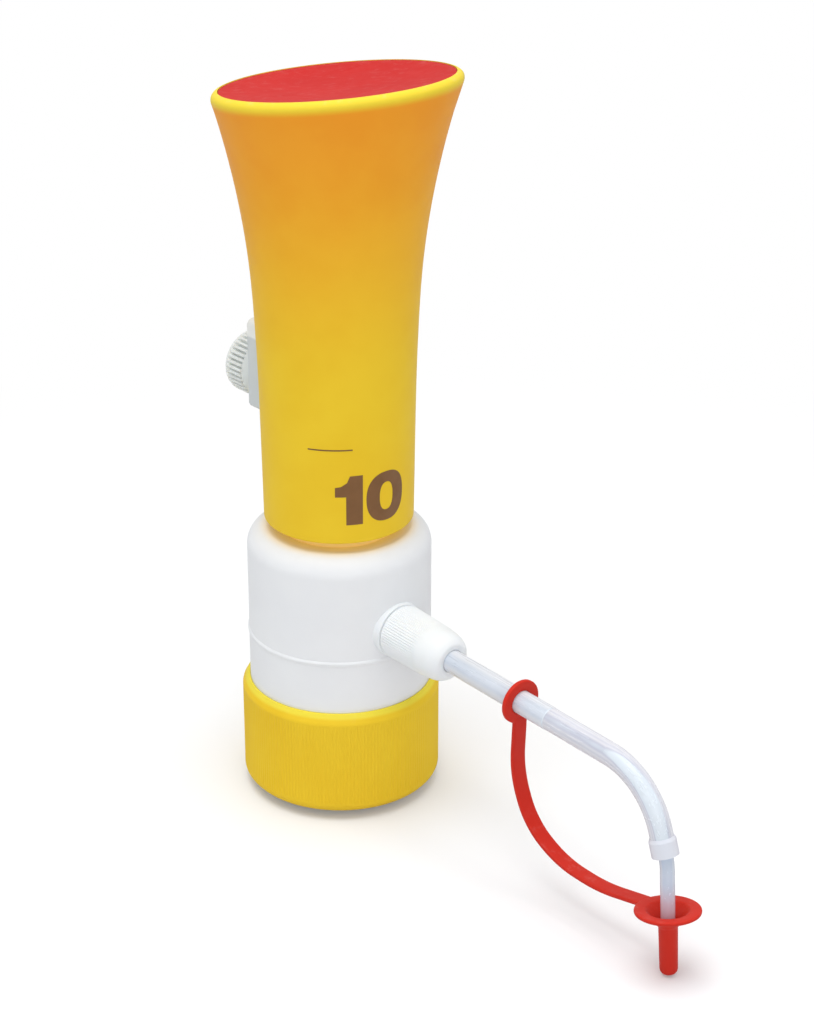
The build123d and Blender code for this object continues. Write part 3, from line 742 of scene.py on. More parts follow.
def turned(outline, steps=160, segments=4):
    """A closed mesh spun about +Z from (radius, height[, rounding]) corners in millimetres."""
    bm = bmesh.new()
    corners = [bm.verts.new((point[0] * mm, 0, point[1] * mm)) for point in outline]
    bm.faces.new(corners)
    roundings = [point[2] if len(point) > 2 else 0 for point in outline]
    for rounding in sorted(set(roundings) - {0}):
        chosen = [v for v, r in zip(corners, roundings) if r == rounding]
        rounded(bm, chosen, rounding, segments, affect="VERTICES")
    bmesh.ops.delete(bm, geom=bm.faces[:], context="FACES_ONLY")
    on_axis = [e for e in bm.edges if all(abs(v.co.x) < 1e-9 for v in e.verts)]
    bmesh.ops.delete(bm, geom=on_axis, context="EDGES")
    bmesh.ops.spin(bm, geom=bm.verts[:] + bm.edges[:], cent=(0, 0, 0), axis=(0, 0, 1), dvec=(0, 0, 0),
                   angle=math.tau, steps=steps, use_merge=True, use_duplicate=False)
    bmesh.ops.remove_doubles(bm, verts=bm.verts, dist=0.0005 * mm)
    bmesh.ops.dissolve_degenerate(bm, dist=0.0001 * mm, edges=bm.edges)
    bmesh.ops.recalc_face_normals(bm, faces=bm.faces)
    return bm


def finished(name, bm, body, stands_for, finish, crease=32):
    """Makes the mesh an object at the origin that rides on a body and replaces its solids."""
    for face in bm.faces:
        face.smooth = True
    for edge in bm.edges:
        edge.smooth = len(edge.link_faces) == 2 and edge.calc_face_angle(0) < math.radians(crease)
    data = bpy.data.meshes.new(name)
    bm.to_mesh(data)
    bm.free()
    data.materials.append(finish)
    piece = bpy.data.objects.new(name, data)
    scene.collection.objects.link(piece)
    if stands_for:
        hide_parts(*stands_for)
    if body:
        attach(piece, body)
    print(name, "has", sum(len(p.vertices) - 2 for p in data.polygons), "triangles")
    return piece


def ease(value):
    """0 to 1 with a soft start and end."""
    value = min(1.0, max(0.0, value))
    return value * value * (3 - 2 * value)


def push_walls(bm, push):
    """Moves the vertices of a turned mesh outwards by push(radius, height, angle), in millimetres."""
    for vert in bm.verts:
        radius = math.hypot(vert.co.x, vert.co.y) / mm
        amount = push(radius, vert.co.z / mm, math.atan2(vert.co.y, vert.co.x))
        if amount:
            vert.co.x *= 1 + amount / radius
            vert.co.y *= 1 + amount / radius


def joined(first, second):
    """Adds the second mesh to the first."""
    data = bpy.data.meshes.new("joining")
    second.to_mesh(data)
    second.free()
    first.from_mesh(data)
    bpy.data.meshes.remove(data)
    return first


# %% [markdown]
# ## Bottle ring
# The ring is a moulded nut: 180 fine ribs outside for grip, a round 45 mm bottle thread inside, and
# a bright bevel where the housing sinks into it.  A thin lip closes the gap to the housing.  Ribs
# could be cut one by one with booleans, but 180 cuts are slow and leave poor faces.  Instead the
# section is spun in six steps for each rib, and the vertices of the outer wall are then pushed inwards
# by a wave.  The thread is made the same way: a ridge whose phase climbs with the angle is a helix.

# %% Ring with ribs and thread
ring_radius = 26.0
ring_height = 29.0
ring_bevel_start = 26.4
ring_ribs = 180
rib_depth = 0.14
rib_low = 2.5
rib_high = 25.9
thread_radius = 22.5
thread_length = 14.3
thread_pitch = 4.0
thread_depth = 1.25
thread_rows = 34
web_low = 19.5
web_high = 22.5
recess_radius = 24.2
lip_radius = 23.97

thread_step = (thread_length - 0.8) / thread_rows
thread_wall = [(thread_radius, thread_length - 0.3 - row * thread_step) for row in range(thread_rows + 1)]
ring_outline = [
    (ring_radius - 1.5, 0, 0.7),
    (ring_radius, 1.7, 0.9),
    (ring_radius, rib_low),
    (ring_radius, rib_low + 0.5),
    (ring_radius, rib_high - 0.5),
    (ring_radius, rib_high),
    (ring_radius, ring_bevel_start, 0.4),
    (recess_radius + 0.3, ring_height, 0.2),
    (lip_radius, ring_height - 0.15),
    (lip_radius, ring_height - 1.2),
    (recess_radius, ring_height - 1.5),
    (recess_radius, web_high, 0.3),
    (17.5, web_high, 0.2),
    (17.5, web_low, 0.2),
    (23.1, web_low, 0.3),
    (23.1, thread_length, 0.1),
    (thread_radius, thread_length, 0.1),
    *thread_wall,
    (thread_radius, 0, 0.2),
]
ring = turned(ring_outline, steps=6 * ring_ribs)


def ring_push(radius, height, angle):
    """Ribs on the outer wall and a thread in the bore."""
    if radius > ring_radius - 0.02 and rib_low < height < rib_high:
        return -rib_depth * (0.5 - 0.5 * math.cos(ring_ribs * angle))
    if abs(radius - thread_radius) < 0.02 and 0.3 < height < thread_length - 0.2:
        phase = (height / thread_pitch - angle / math.tau) % 1.0
        ridge = ease((0.34 - abs(phase - 0.5)) / 0.2)
        run_in = ease((height - 0.8) / 1.6) * ease((thread_length - 0.6 - height) / 1.6)
        return -thread_depth * ridge * run_in
    return 0.0


push_walls(ring, ring_push)
ring.normal_update()
finished("ring_shell", ring, "ring", ["bottle_ring"], ring_yellow, crease=50)
print("rib pitch", round(math.tau * ring_radius / ring_ribs, 3), "mm")

# %% [markdown]
# ## Places along the jet
# The jet droops a little from the housing, so a piece of it is easiest to turn about +Z and then to
# swing onto the jet's axis.  One matrix for each slanted axis does that.

# %% Axes of the slanted parts
jet_axis_height = 50.9
jet_droop = math.radians(1.7)
onto_jet = Matrix.Translation((0, 0, jet_axis_height * mm)) @ Matrix.Rotation(math.pi / 2 + jet_droop, 4, "Y")


def on_jet(distance):
    """A point on the jet's straight axis, in millimetres as (x, z)."""
    return (distance * math.cos(jet_droop), jet_axis_height - distance * math.sin(jet_droop))


print("the jet's axis at the nut's end is", [round(v, 2) for v in on_jet(44.9)])

# %% [markdown]
# ## Union nut
# The nut clamps the jet on its boss.  Two thirds of it are knurled with fine ridges that the fingers
# can feel, and its far end is a smooth dome with a plain edge round the tube.

# %% Knurled union nut
nut_start = 24.6
nut_end = 44.9
nut_radius = 7.2
knurl_ridges = 64
knurl_depth = 0.2
knurl_end = nut_start + 13.0
jet_bore_fit = 3.02

nut_rows = [(nut_radius - 0.025 * row, nut_start + 0.6 + row * 0.95) for row in range(1, 14)]
nut_outline = [
    (5.75, nut_start, 0.2),
    (nut_radius - 0.6, nut_start, 0.2),
    (nut_radius, nut_start + 0.6, 0.3),
    *nut_rows,
    (nut_radius - 0.37, nut_start + 13.8, 0.4),
    (nut_radius - 0.75, nut_end - 3.0, 0.7),
    (nut_radius - 1.4, nut_end - 1.2, 0.7),
    (nut_radius - 2.7, nut_end, 0.4),
    (jet_bore_fit, nut_end, 0.15),
    (jet_bore_fit, 34.0),
    (5.6, 34.0),
    (5.6, 32.4),
    (5.75, 32.4),
]
nut = turned(nut_outline, steps=6 * knurl_ridges)


def nut_push(radius, along, angle):
    """Fine ridges on the nut's straight part."""
    if radius > nut_radius - 0.5 and nut_start + 0.4 < along < knurl_end + 0.5:
        fade = ease((along - nut_start - 0.5) / 0.8) * ease((knurl_end - along) / 0.8)
        return -knurl_depth * fade * (0.5 - 0.5 * math.cos(knurl_ridges * angle))
    return 0.0


push_walls(nut, nut_push)
bmesh.ops.transform(nut, matrix=onto_jet, verts=nut.verts)
nut.normal_update()
finished("nut_shell", nut, "union_nut", ["union_nut"], nut_white, crease=50)

# %% [markdown]
# The nut does not meet a bare cylinder.  A short smooth boss stands out of the housing behind it and
# closes the crescent that a round nut leaves against a round wall.  Where the housing's two shells
# meet, a rounded bead runs round it and hides the joint.

# %% Boss behind the nut, and seam bead
boss_end = nut_start - 0.05
port_boss = turned([(6.0, 19.5), (7.6, 19.5), (7.6, 22.9, 1.0), (7.2, boss_end, 0.2), (6.0, boss_end)], steps=128)
bmesh.ops.transform(port_boss, matrix=onto_jet, verts=port_boss.verts)
finished("port_boss", port_boss, "head", [], nut_white, crease=35)

seam_height = 43.1
bead_outline = [
    (23.7, seam_height - 0.8),
    (23.93, seam_height - 0.8, 0.2),
    (24.22, seam_height - 0.3, 0.2),
    (24.22, seam_height + 0.05, 0.2),
    (23.93, seam_height + 0.55, 0.2),
    (23.7, seam_height + 0.55),
]
seam_bead = turned(bead_outline, steps=192)
finished("seam_bead", seam_bead, "head", [], housing_white, crease=50)

# %% [markdown]
# ## Discharge spring
# The spring presses the discharge ball on its seat.  Its wire is a small circle carried round the
# jet's axis with a step forwards at every turn of the spin.

# %% Coil spring on the ball
spring_start = 31.56
spring_length = 6.7
spring_turns = 5
spring_radius = 1.7
wire_radius = 0.22
spring_steps = 36 * spring_turns
spring = bmesh.new()
wire = bmesh.ops.create_circle(spring, cap_ends=False, segments=10, radius=wire_radius * mm)["verts"]
bmesh.ops.rotate(spring, verts=wire, cent=(0, 0, 0), matrix=Matrix.Rotation(math.pi / 2, 3, "X"))
bmesh.ops.translate(spring, verts=wire, vec=(spring_radius * mm, 0, spring_start * mm))
bmesh.ops.spin(spring, geom=spring.verts[:] + spring.edges[:], cent=(0, 0, 0), axis=(0, 0, 1),
               dvec=(0, 0, spring_length * mm / spring_steps), angle=math.tau * spring_turns,
               steps=spring_steps, use_merge=False, use_duplicate=False)
closed(spring)
bmesh.ops.recalc_face_normals(spring, faces=spring.faces)
bmesh.ops.transform(spring, matrix=onto_jet, verts=spring.verts)
coil = finished("spring_coil", spring, None, ["discharge_spring"], spring_steel, crease=50)
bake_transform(coil)

# %% [markdown]
# ## Guard round the barrel
# The glass barrel stands in a guard, a sleeve with a stop flange at its top.  Its foot is a collar
# that fills the hole in the housing's top, closed by a flat ring, so only a narrow dark gap is left
# under the handle.

# %% Barrel guard and the ring at its foot
guard_radius = 12.0
stop_height = 149.69
guard_outline = [
    (10.5, 66.0),
    (16.3, 66.0),
    (16.3, 70.2, 0.2),
    (14.5, 70.2),
    (14.5, 77.0, 0.4),
    (guard_radius, 79.5, 0.4),
    (guard_radius, stop_height),
    (15.2, stop_height, 0.2),
    (15.2, stop_height + 2.3, 0.2),
    (14.5, stop_height + 3.0),
    (8.8, stop_height + 3.0),
    (8.8, 151.2),
    (10.5, 151.2),
]
finished("guard_shell", turned(guard_outline, steps=128), "head", ["barrel_guard"], guard_pale)
foot_outline = [(14.65, 70.4), (16.55, 70.4), (16.55, 71.76), (14.65, 71.76, 0.3)]
finished("foot_ring", turned(foot_outline, steps=128), "head", [], housing_white)

# %% [markdown]
# ## Volume knob
# The knob is a wheel on a cone.  Its 38 grooves have round bottoms and run out before the outer rim,
# so the rim is a smooth thin ring.  A wave does this too, once it is steepened so that it stays high
# on the ridges and drops sharply in the grooves.

# %% Grooved volume knob
knob_height = 106.2
knob_radius = 8.4
knob_inner = 24.3
knob_outer = 36.5
knob_ridges = 38
groove_depth = 0.95
groove_start = knob_inner + 6.1
groove_end = knob_outer - 0.95

groove_length = groove_end - groove_start
rim_rows = [(knob_radius, groove_start + groove_length * row / 12) for row in range(13)]
knob_outline = [
    (2.05, knob_inner, 0.1),
    (5.4, knob_inner, 0.35),
    (5.75, knob_inner + 2.4, 0.5),
    (knob_radius - 0.6, knob_inner + 5.4, 0.5),
    (knob_radius, knob_inner + 5.95, 0.1),
    *rim_rows,
    (knob_radius, knob_outer, 0.45),
    (knob_radius - 1.6, knob_outer, 0.3),
    (knob_radius - 2.1, knob_outer - 0.5, 0.3),
    (0, knob_outer - 0.35),
    (0, knob_outer - 2.5),
    (2.05, knob_outer - 2.5),
]
knob = turned(knob_outline, steps=10 * knob_ridges)


def knob_push(radius, along, angle):
    """Grooves that are narrow and deep, with wide ridges between them."""
    if radius > knob_radius - 0.3 and groove_start - 0.7 < along < groove_end + 0.01:
        fade = ease((along - groove_start + 0.9) / 0.6) * ease((groove_end - along) / 0.8)
        wave = 0.5 + 0.5 * math.cos(knob_ridges * angle)
        return -groove_depth * fade * (1 - ease(wave * 1.7))
    return 0.0


push_walls(knob, knob_push)
onto_knob = Matrix.Translation((0, 0, knob_height * mm)) @ Matrix.Rotation(-math.pi / 2, 4, "Y")
bmesh.ops.transform(knob, matrix=onto_knob, verts=knob.verts)
knob.normal_update()
finished("knob_wheel", knob, "volume_knob", ["volume_knob"], knob_white, crease=40)

# %% [markdown]
# ## Handle sleeve
# The handle is a tapered tube that flares like a trumpet and is cut off at a slant.  The flare is a
# smooth curve through a few measured radii.  The solid is spun well past the cut and bisected by the
# slanted plane; the new edge is then bevelled into the thick round lip.  What is taken out of it,
# the hollow, the pocket of the clamp, its slot and the seat of the lid, is taken out by booleans
# with simple turned or boxed cutters, because these openings cross the curved wall at odd angles.

# %% The flare's curve
sleeve_bottom = 74.7
sleeve_foot_radius = 19.3
flare_points = [
    (sleeve_bottom, sleeve_foot_radius),
    (97.6, 19.65),
    (122.0, 20.25),
    (147.0, 21.95),
    (167.0, 25.25),
    (182.5, 29.1),
    (196.0, 33.4),
]
flare_slopes = [0.016, 0.016, 0.042, 0.118, 0.212, 0.292, 0.32]


def flare_radius(height):
    """The sleeve's outer radius at a height, by a cubic between the two nearest points."""
    for (low, r_low), (high, r_high), m_low, m_high in zip(
        flare_points, flare_points[1:], flare_slopes, flare_slopes[1:]
    ):
        if height <= high:
            break
    width = high - low
    t = min(1.0, max(0.0, (height - low) / width))
    return (
        (2 * t**3 - 3 * t**2 + 1) * r_low
        + (t**3 - 2 * t**2 + t) * width * m_low
        + (3 * t**2 - 2 * t**3) * r_high
        + (t**3 - t**2) * width * m_high
    )


print("radius at the rim", round(flare_radius(188.5), 2), "mm")

# %% Spin, slant and round the sleeve
rim_height = 188.5
rim_slope = 0.135
rim_tilt = math.atan(rim_slope)
rim_round = 2.0
rim_reach = 1.38
rim_normal = Vector((-math.sin(rim_tilt), 0, math.cos(rim_tilt)))
row_heights = [sleeve_bottom + 1.2 + 2.35 * row for row in range(46)]
sleeve_outline = [
    (0, sleeve_bottom),
    (sleeve_foot_radius, sleeve_bottom, 0.5),
    *[(flare_radius(h), h) for h in row_heights],
    (flare_radius(196.0), 196.0),
    (0, 196.0),
]
sleeve = turned(sleeve_outline, steps=192)
sliced(sleeve, (0, 0, rim_height * mm), rim_normal)
rim_edges = [e for e in sleeve.edges if e.is_boundary]
bmesh.ops.edgeloop_fill(sleeve, edges=rim_edges)
rim_edges = [e for e in sleeve.edges
             if all(abs((v.co - Vector((0, 0, rim_height * mm))).dot(rim_normal)) < 1e-6 for v in e.verts)]
rounded(sleeve, rim_edges, rim_round * rim_reach, 7)
bmesh.ops.recalc_face_normals(sleeve, faces=sleeve.faces)
print("rounded the rim along", len(rim_edges), "edges")

# %% [markdown]
# A boolean modifier needs objects, so each cutter becomes one for a moment.  The result is read back
# from the evaluated object, and the cutters are removed.

# %% Cutters for the sleeve
def loose_object(name, bm):
    """A plain object from a mesh, for a boolean."""
    data = bpy.data.meshes.new(name)
    bm.to_mesh(data)
    bm.free()
    thing = bpy.data.objects.new(name, data)
    scene.collection.objects.link(thing)
    return thing


def carved(bm, cutters):
    """The mesh less its cutters, as a new mesh."""
    block = loose_object("block", bm)
    for cutter in cutters:
        cut = block.modifiers.new("cut", "BOOLEAN")
        cut.operation = "DIFFERENCE"
        cut.solver = "EXACT"
        cut.object = cutter
    bpy.context.view_layer.update()
    result = bmesh.new()
    result.from_object(block, bpy.context.evaluated_depsgraph_get())
    for thing in [block, *cutters]:
        data = thing.data
        bpy.data.objects.remove(thing)
        bpy.data.meshes.remove(data)
    return result


sleeve_bore = 17.4
sleeve_wall = 2.2
hollow_outline = [
    (0, sleeve_bottom - 5),
    (sleeve_bore, sleeve_bottom - 5),
    *[(max(sleeve_bore, flare_radius(h) - sleeve_wall), h) for h in row_heights],
    (flare_radius(196.0) - sleeve_wall, 196.0),
    (0, 196.0),
]
hollow = turned(hollow_outline, steps=128)
back_wall = -sleeve_bore * mm
for place, normal in (((back_wall, 0, 0), (-1, 0, 0)), ((0, 0, (rim_height - 2.0) * mm), rim_normal)):
    sliced(hollow, place, normal)
    closed(hollow)

stroke_per_ml = 1000 / (math.pi * 8.0**2)
slot_low = knob_height - 3.5 - 2 * stroke_per_ml - 0.5
slot_high = knob_height + 3.5 + 6 * stroke_per_ml + 0.5
track_half_width = 10.7
track_low = slot_low - 12.0
track_high = slot_high + 9.0
pocket = turned([(19.8, track_low), (45, track_low), (45, track_high), (19.8, track_high)], steps=192)
for side_place, side_normal in (((0, 0, 0), (1, 0, 0)), ((0, track_half_width * mm, 0), (0, 1, 0)),
                                ((0, -track_half_width * mm, 0), (0, -1, 0))):
    sliced(pocket, side_place, side_normal)
    closed(pocket)

slot_half_width = 3.2
slot = bmesh.new()
bmesh.ops.create_cube(slot, size=1.0)
bmesh.ops.scale(slot, vec=(20 * mm, 2 * slot_half_width * mm, (slot_high - slot_low) * mm), verts=slot.verts)
upright = [e for e in slot.edges if abs(e.verts[0].co.x - e.verts[1].co.x) > 1 * mm]
rounded(slot, upright, 1.2, 5)
bmesh.ops.translate(slot, vec=(-20 * mm, 0, (slot_low + slot_high) / 2 * mm), verts=slot.verts)

lid_radius = 28.7
lid_offset = 1.25
lid_depth = 0.15
lid_thickness = 2.4
onto_rim = (
    Matrix.Translation((lid_offset * mm, 0, (rim_height + rim_slope * lid_offset) * mm))
    @ Matrix.Rotation(-rim_tilt, 4, "Y")
)
seat = turned([(0, -lid_depth - lid_thickness), (lid_radius + 0.08, -lid_depth - lid_thickness),
               (lid_radius + 0.08, 4.0), (0, 4.0)], steps=192)
bmesh.ops.transform(seat, matrix=onto_rim, verts=seat.verts)
cutters = [loose_object(label, bm) for label, bm in
           (("hollow", hollow), ("pocket", pocket), ("slot", slot), ("seat", seat))]
sleeve = carved(sleeve, cutters)
bmesh.ops.remove_doubles(sleeve, verts=sleeve.verts, dist=0.002 * mm)
finished("sleeve_shell", sleeve, "handle", ["handle_sleeve"], handle_yellow, crease=28)

# %% [markdown]
# ## Lid
# The lid is a thin dished disc pressed into the sleeve's seat, with a boss below that takes the
# piston rod.  It is turned about its own slanted axis, and the dish is a parabola.

# %% Dished lid
lid_dish = 2.0
dish_rows = 14
dish_curve = [
    ((lid_radius - 0.3) * (1 - row / dish_rows), -lid_depth - lid_dish * (1 - (1 - row / dish_rows) ** 2))
    for row in range(dish_rows + 1)
]
lid_outline = [
    (0, -lid_depth - lid_dish - lid_thickness),
    (lid_radius * 0.6, -lid_depth - lid_thickness - 1.0),
    (lid_radius * 0.85, -lid_depth - lid_thickness),
    (lid_radius, -lid_depth - lid_thickness),
    (lid_radius, -lid_depth - 0.3),
    (lid_radius - 0.1, -lid_depth - 0.08),
    *dish_curve,
]
lid = turned(lid_outline, steps=192)
bmesh.ops.transform(lid, matrix=onto_rim, verts=lid.verts)
boss_outline = [(4.0, 172.0), (6.0, 172.0, 0.4), (6.0, 185.3), (0, 185.3), (0, 180.0), (4.0, 180.0)]
lid = joined(lid, turned(boss_outline, steps=64))
finished("lid_disc", lid, "handle", ["handle_lid"], lid_red, crease=35)

# %% [markdown]
# ## Closure cap
# The cap is one soft moulding: a thin round flange to pull on, a shallow funnel that guides the
# tube's tip in, and a closed finger that keeps the tip clean.  It is turned about the tip's axis.
# The strap pulls on the soft flange, so the flange sags a little and is not quite square to the axis.

# %% Cap with funnel and finger
lower_corner = (120.78, 27.6)
tip_lean = math.radians(4.5)
cap_from_corner = 12.4
cap_centre = (
    lower_corner[0] + cap_from_corner * math.sin(tip_lean),
    lower_corner[1] - cap_from_corner * math.cos(tip_lean),
)
onto_cap = Matrix.Translation((cap_centre[0] * mm, 0, cap_centre[1] * mm)) @ Matrix.Rotation(-tip_lean, 4, "Y")
cap_outline = [
    (0, -17.1),
    (2.18, -17.1, 1.5),
    (2.33, -4.2, 0.4),
    (5.2, -0.35, 0.6),
    (8.0, -0.1, 0.35),
    (8.0, 0.85, 0.35),
    (5.2, 0.75, 0.4),
    (1.85, -3.4, 0.3),
    (1.85, -12.0),
    (0, -12.0),
]
cap = turned(cap_outline, steps=96, segments=4)
flange_bend = 0.10
flange_sag = 0.55
bend_along = Vector((0.678, -0.735, 0))
for vert in cap.verts:
    share = ease((math.hypot(vert.co.x, vert.co.y) / mm - 2.0) / 3.0)
    if vert.co.z > -4.3 * mm:
        vert.co.z += share * (flange_bend * vert.co.dot(bend_along) - flange_sag * mm)
bmesh.ops.transform(cap, matrix=onto_cap, verts=cap.verts)
finished("cap_moulding", cap, "closure_cap", ["closure_cap"], cap_red, crease=35)

# %% [markdown]
# ## Tether
# The strap is moulded flat with a ring at one end, so it keeps its width and bends only across its
# thin side.  Its centre line is a run of straight pieces joined by arcs, which two operators follow
# directly: an extrusion carries the end face along a straight run, and a spin swings it round an arc.

# %% Route of the strap
jet_radius = 2.95
loop_start = 69.2
loop_thickness = 1.2
loop_radius = 5.65
strap_width = 4.2
strap_thickness = 1.0
strap_top = on_jet(loop_start + loop_thickness / 2)
strap_corners = [
    (strap_top[0], strap_top[1] - jet_radius - 1.0),
    (69.1, 29.1),
    (74.5, 16.7),
    (86.0, 10.9),
    (100.1, 10.6),
    (114.6, 13.85),
]
strap_radii = [26.0, 17.5, 27.0, 46.0]


def sweep_strap(bm, moving, corners, radii):
    """Carries the moving faces along the corners, with an arc of its radius at each corner."""
    tips = [Vector((x, 0, z)) for x, z in corners]
    length = 0.0
    place = tips[0]
    for index, radius in enumerate([*radii, None]):
        here = (tips[index + 1] - tips[index]).normalized()
        if radius is None:
            stop = tips[-1]
        else:
            ahead = (tips[index + 2] - tips[index + 1]).normalized()
            turn_by = here.angle(ahead)
            stop = tips[index + 1] - here * radius * math.tan(turn_by / 2)
        steps = max(1, round((stop - place).length / 1.2))
        for _ in range(steps):
            made = bmesh.ops.extrude_face_region(bm, geom=moving)["geom"]
            bmesh.ops.delete(bm, geom=moving, context="FACES")
            moving = [g for g in made if isinstance(g, bmesh.types.BMFace)]
            verts = [g for g in made if isinstance(g, bmesh.types.BMVert)]
            bmesh.ops.translate(bm, vec=(stop - place) * mm / steps, verts=verts)
        length += (stop - place).length
        if radius is None:
            return length
        side = here.cross(ahead).normalized()
        centre = stop + side.cross(here).normalized() * radius
        steps = max(3, round(radius * turn_by / 1.2))
        made = bmesh.ops.spin(bm, geom=moving, cent=centre * mm, axis=side, dvec=(0, 0, 0), angle=turn_by,
                              steps=steps, use_merge=False, use_duplicate=False)["geom_last"]
        moving = [g for g in made if isinstance(g, bmesh.types.BMFace)]
        place = centre + Matrix.Rotation(turn_by, 3, side) @ (stop - centre)
        length += radius * turn_by


strap = bmesh.new()
bmesh.ops.create_grid(strap, x_segments=4, y_segments=1, size=0.5)
bmesh.ops.scale(strap, vec=(strap_width * mm, strap_thickness * mm, 1), verts=strap.verts)
first_corner, second_corner = (Vector((x, 0, z)) for x, z in strap_corners[:2])
first_run = (second_corner - first_corner).normalized()
side_axis = Vector((0, 1, 0))
thin_axis = first_run.cross(side_axis).normalized()
face_up = Matrix((side_axis, thin_axis, first_run)).transposed().to_4x4()
start_place = Matrix.Translation(first_corner * mm)
bmesh.ops.transform(strap, matrix=start_place @ face_up, verts=strap.verts)
end_face = strap.faces[:]
bmesh.ops.duplicate(strap, geom=end_face)
strap_length = sweep_strap(strap, end_face, strap_corners, strap_radii)
bmesh.ops.remove_doubles(strap, verts=strap.verts, dist=0.01 * mm)
bmesh.ops.recalc_face_normals(strap, faces=strap.faces)
long_edges = [e for e in strap.edges if len(e.link_faces) == 2 and e.calc_face_angle(0) > math.radians(60)]
rounded(strap, long_edges, 0.25, 3)
print("strap is", round(strap_length, 1), "mm long")

# %% Loop round the jet, and join
loop_bore = jet_radius + 0.05
loop_end = loop_start + loop_thickness
loop_outline = [
    (loop_bore, loop_start, 0.25),
    (loop_radius, loop_start, 0.35),
    (loop_radius, loop_end, 0.35),
    (loop_bore, loop_end, 0.25),
]
loop = turned(loop_outline, steps=96)
bmesh.ops.transform(loop, matrix=onto_jet, verts=loop.verts)
strap = joined(strap, loop)
tether = finished("tether_strap", strap, None, ["cap_tether"], cap_red, crease=35)
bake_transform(tether)

# %% [markdown]
# ## Marks on the sleeve
# The sleeve carries its volume, a large 10, under a plain thin rule.  They are printed in a thin
# brown ink.  An ink film could be a painted mask, but a mesh of its own keeps the edges crisp and
# survives every export.  Each figure is drawn flat, sliced into narrow upright strips so that it can
# bend, given its thickness, and rolled round the sleeve.

# %% Ink finish
print_ink = inner_finish("print_ink", screen_colour(117, 76, 30), 0.5)
ink_thickness = 0.05
first_angle = math.radians(-41.3)


def rolled(bm, low, start_angle):
    """Bends a flat figure in the XY plane, in millimetres, round the sleeve and gives it thickness."""
    left = min(v.co.x for v in bm.verts)
    right = max(v.co.x for v in bm.verts)
    cut = left + 0.5
    while cut < right:
        bmesh.ops.bisect_plane(bm, geom=bm.verts[:] + bm.edges[:] + bm.faces[:], dist=1e-5,
                               plane_co=(cut, 0, 0), plane_no=(1, 0, 0))
        cut += 0.5
    made = bmesh.ops.extrude_face_region(bm, geom=bm.faces[:])["geom"]
    bmesh.ops.translate(bm, vec=(0, 0, 1), verts=[g for g in made if isinstance(g, bmesh.types.BMVert)])
    for vert in bm.verts:
        height = low + vert.co.y
        radius = flare_radius(height) + (ink_thickness if vert.co.z > 0.5 else -0.1)
        angle = start_angle + vert.co.x / flare_radius(low)
        vert.co = Vector((radius * math.cos(angle) * mm, radius * math.sin(angle) * mm, height * mm))
    bmesh.ops.recalc_face_normals(bm, faces=bm.faces)
    return bm


# %% Large 10
figure_one = bmesh.new()
number_low = 80.0
one_corners = [
    (0, 7.75), (2.75, 7.75), (2.75, 0), (7.0, 0), (7.0, 13.4), (3.75, 13.4), (3.0, 11.6), (1.5, 10.6), (0, 10.35)
]
figure_one.faces.new([figure_one.verts.new((x, y, 0)) for x, y in one_corners])


def oval_ring(centre, half_width, half_height, inner_half_width, inner_half_height, fullness):
    """A flat oval band, made from two circles whose sides are filled out."""
    bm = bmesh.new()
    for wide, tall in ((half_width, half_height), (inner_half_width, inner_half_height)):
        made = bmesh.ops.create_circle(bm, cap_ends=False, segments=64, radius=1.0)["verts"]
        for vert in made:
            for axis, size in ((0, wide), (1, tall)):
                share = abs(vert.co[axis]) ** (2 / fullness)
                vert.co[axis] = math.copysign(share * size, vert.co[axis]) + centre[axis]
    bmesh.ops.bridge_loops(bm, edges=bm.edges[:])
    return bm


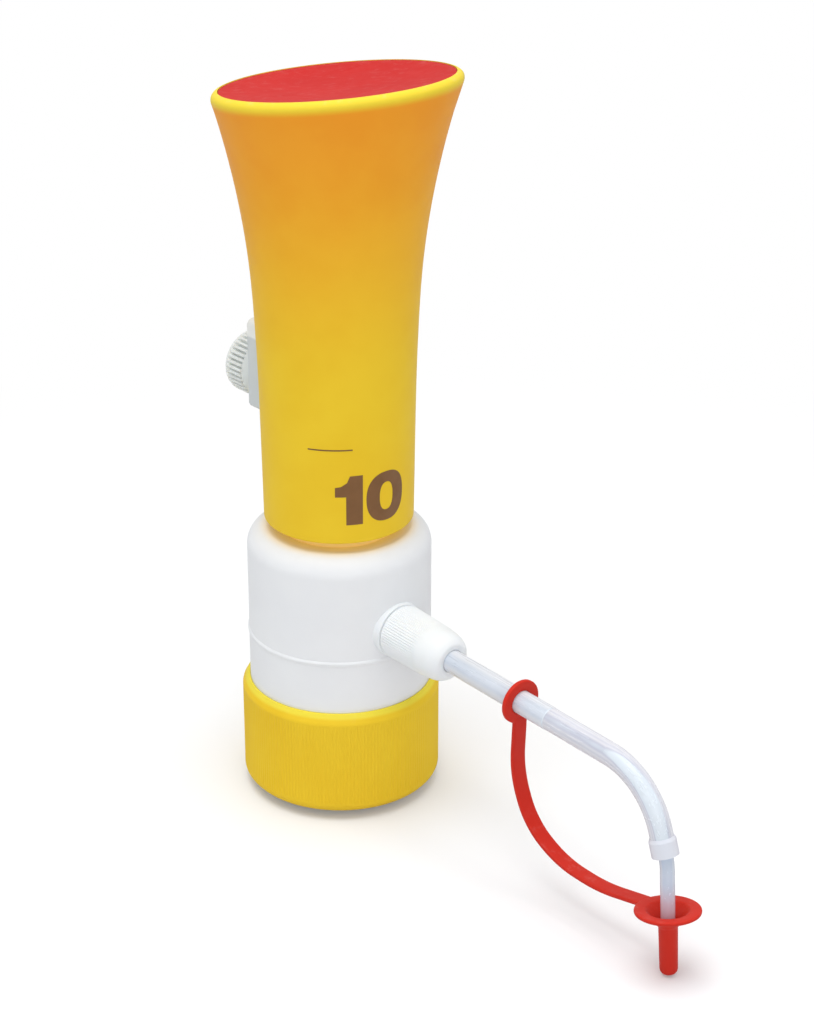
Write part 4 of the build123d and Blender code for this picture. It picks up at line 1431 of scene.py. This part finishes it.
figure_nought = oval_ring((13.7, 6.4), 5.75, 6.7, 2.05, 3.8, 2.35)
number = joined(rolled(figure_one, number_low, first_angle), rolled(figure_nought, number_low, first_angle))
finished("volume_number", number, "handle", [], print_ink, crease=40)

# %% Thin rule above it
rule = bmesh.new()
rule_start = math.radians(-61.0)
rule_length = math.radians(33.0) * 19.6
rule.faces.new([rule.verts.new(c) for c in ((0, 0, 0), (rule_length, 0, 0), (rule_length, 0.36, 0), (0, 0.36, 0))])
finished("number_rule", rolled(rule, 100.3, rule_start), "handle", [], print_ink, crease=40)

# %% [markdown]
# The volume scale stands at the left of the slot, where the knob is read.  Each whole number of
# millilitres has a long line and a figure and each half has a short line.  One millilitre is the
# same travel for the stop and for the piston, which is the barrel's bore turned into a height.

# %% Scale at the slot
saddle_top = 123.3
volume_at_rest = 8
tick_end = math.radians(145.8)
tick_thickness = 0.3
scale_marks = None
for half_ml in range(4, 21):
    volume = half_ml / 2
    height = saddle_top + (volume_at_rest - volume) * stroke_per_ml - tick_thickness / 2
    whole = half_ml % 2 == 0
    tick_length = 2.6 if whole else 1.5
    tick = bmesh.new()
    outline = ((0, 0), (tick_length, 0), (tick_length, tick_thickness), (0, tick_thickness))
    tick.faces.new([tick.verts.new((x, y, 0)) for x, y in outline])
    rolled(tick, height, tick_end - tick_length / flare_radius(height))
    scale_marks = joined(scale_marks, tick) if scale_marks else tick
    if not whole:
        continue
    text = bpy.data.curves.new("figure", "FONT")
    text.body = str(round(volume))
    text.size = 3.4
    text.align_x = "RIGHT"
    text_object = bpy.data.objects.new("figure", text)
    scene.collection.objects.link(text_object)
    bpy.context.view_layer.update()
    depsgraph = bpy.context.evaluated_depsgraph_get()
    flat = bpy.data.meshes.new_from_object(text_object.evaluated_get(depsgraph))
    bpy.data.objects.remove(text_object)
    bpy.data.curves.remove(text)
    figure = bmesh.new()
    figure.from_mesh(flat)
    bpy.data.meshes.remove(flat)
    bmesh.ops.remove_doubles(figure, verts=figure.verts, dist=0.01)
    figure_low = height - 1.1
    rolled(figure, figure_low, tick_end - 3.4 / flare_radius(height))
    scale_marks = joined(scale_marks, figure)
finished("volume_scale", scale_marks, "handle", [], print_ink, crease=40)
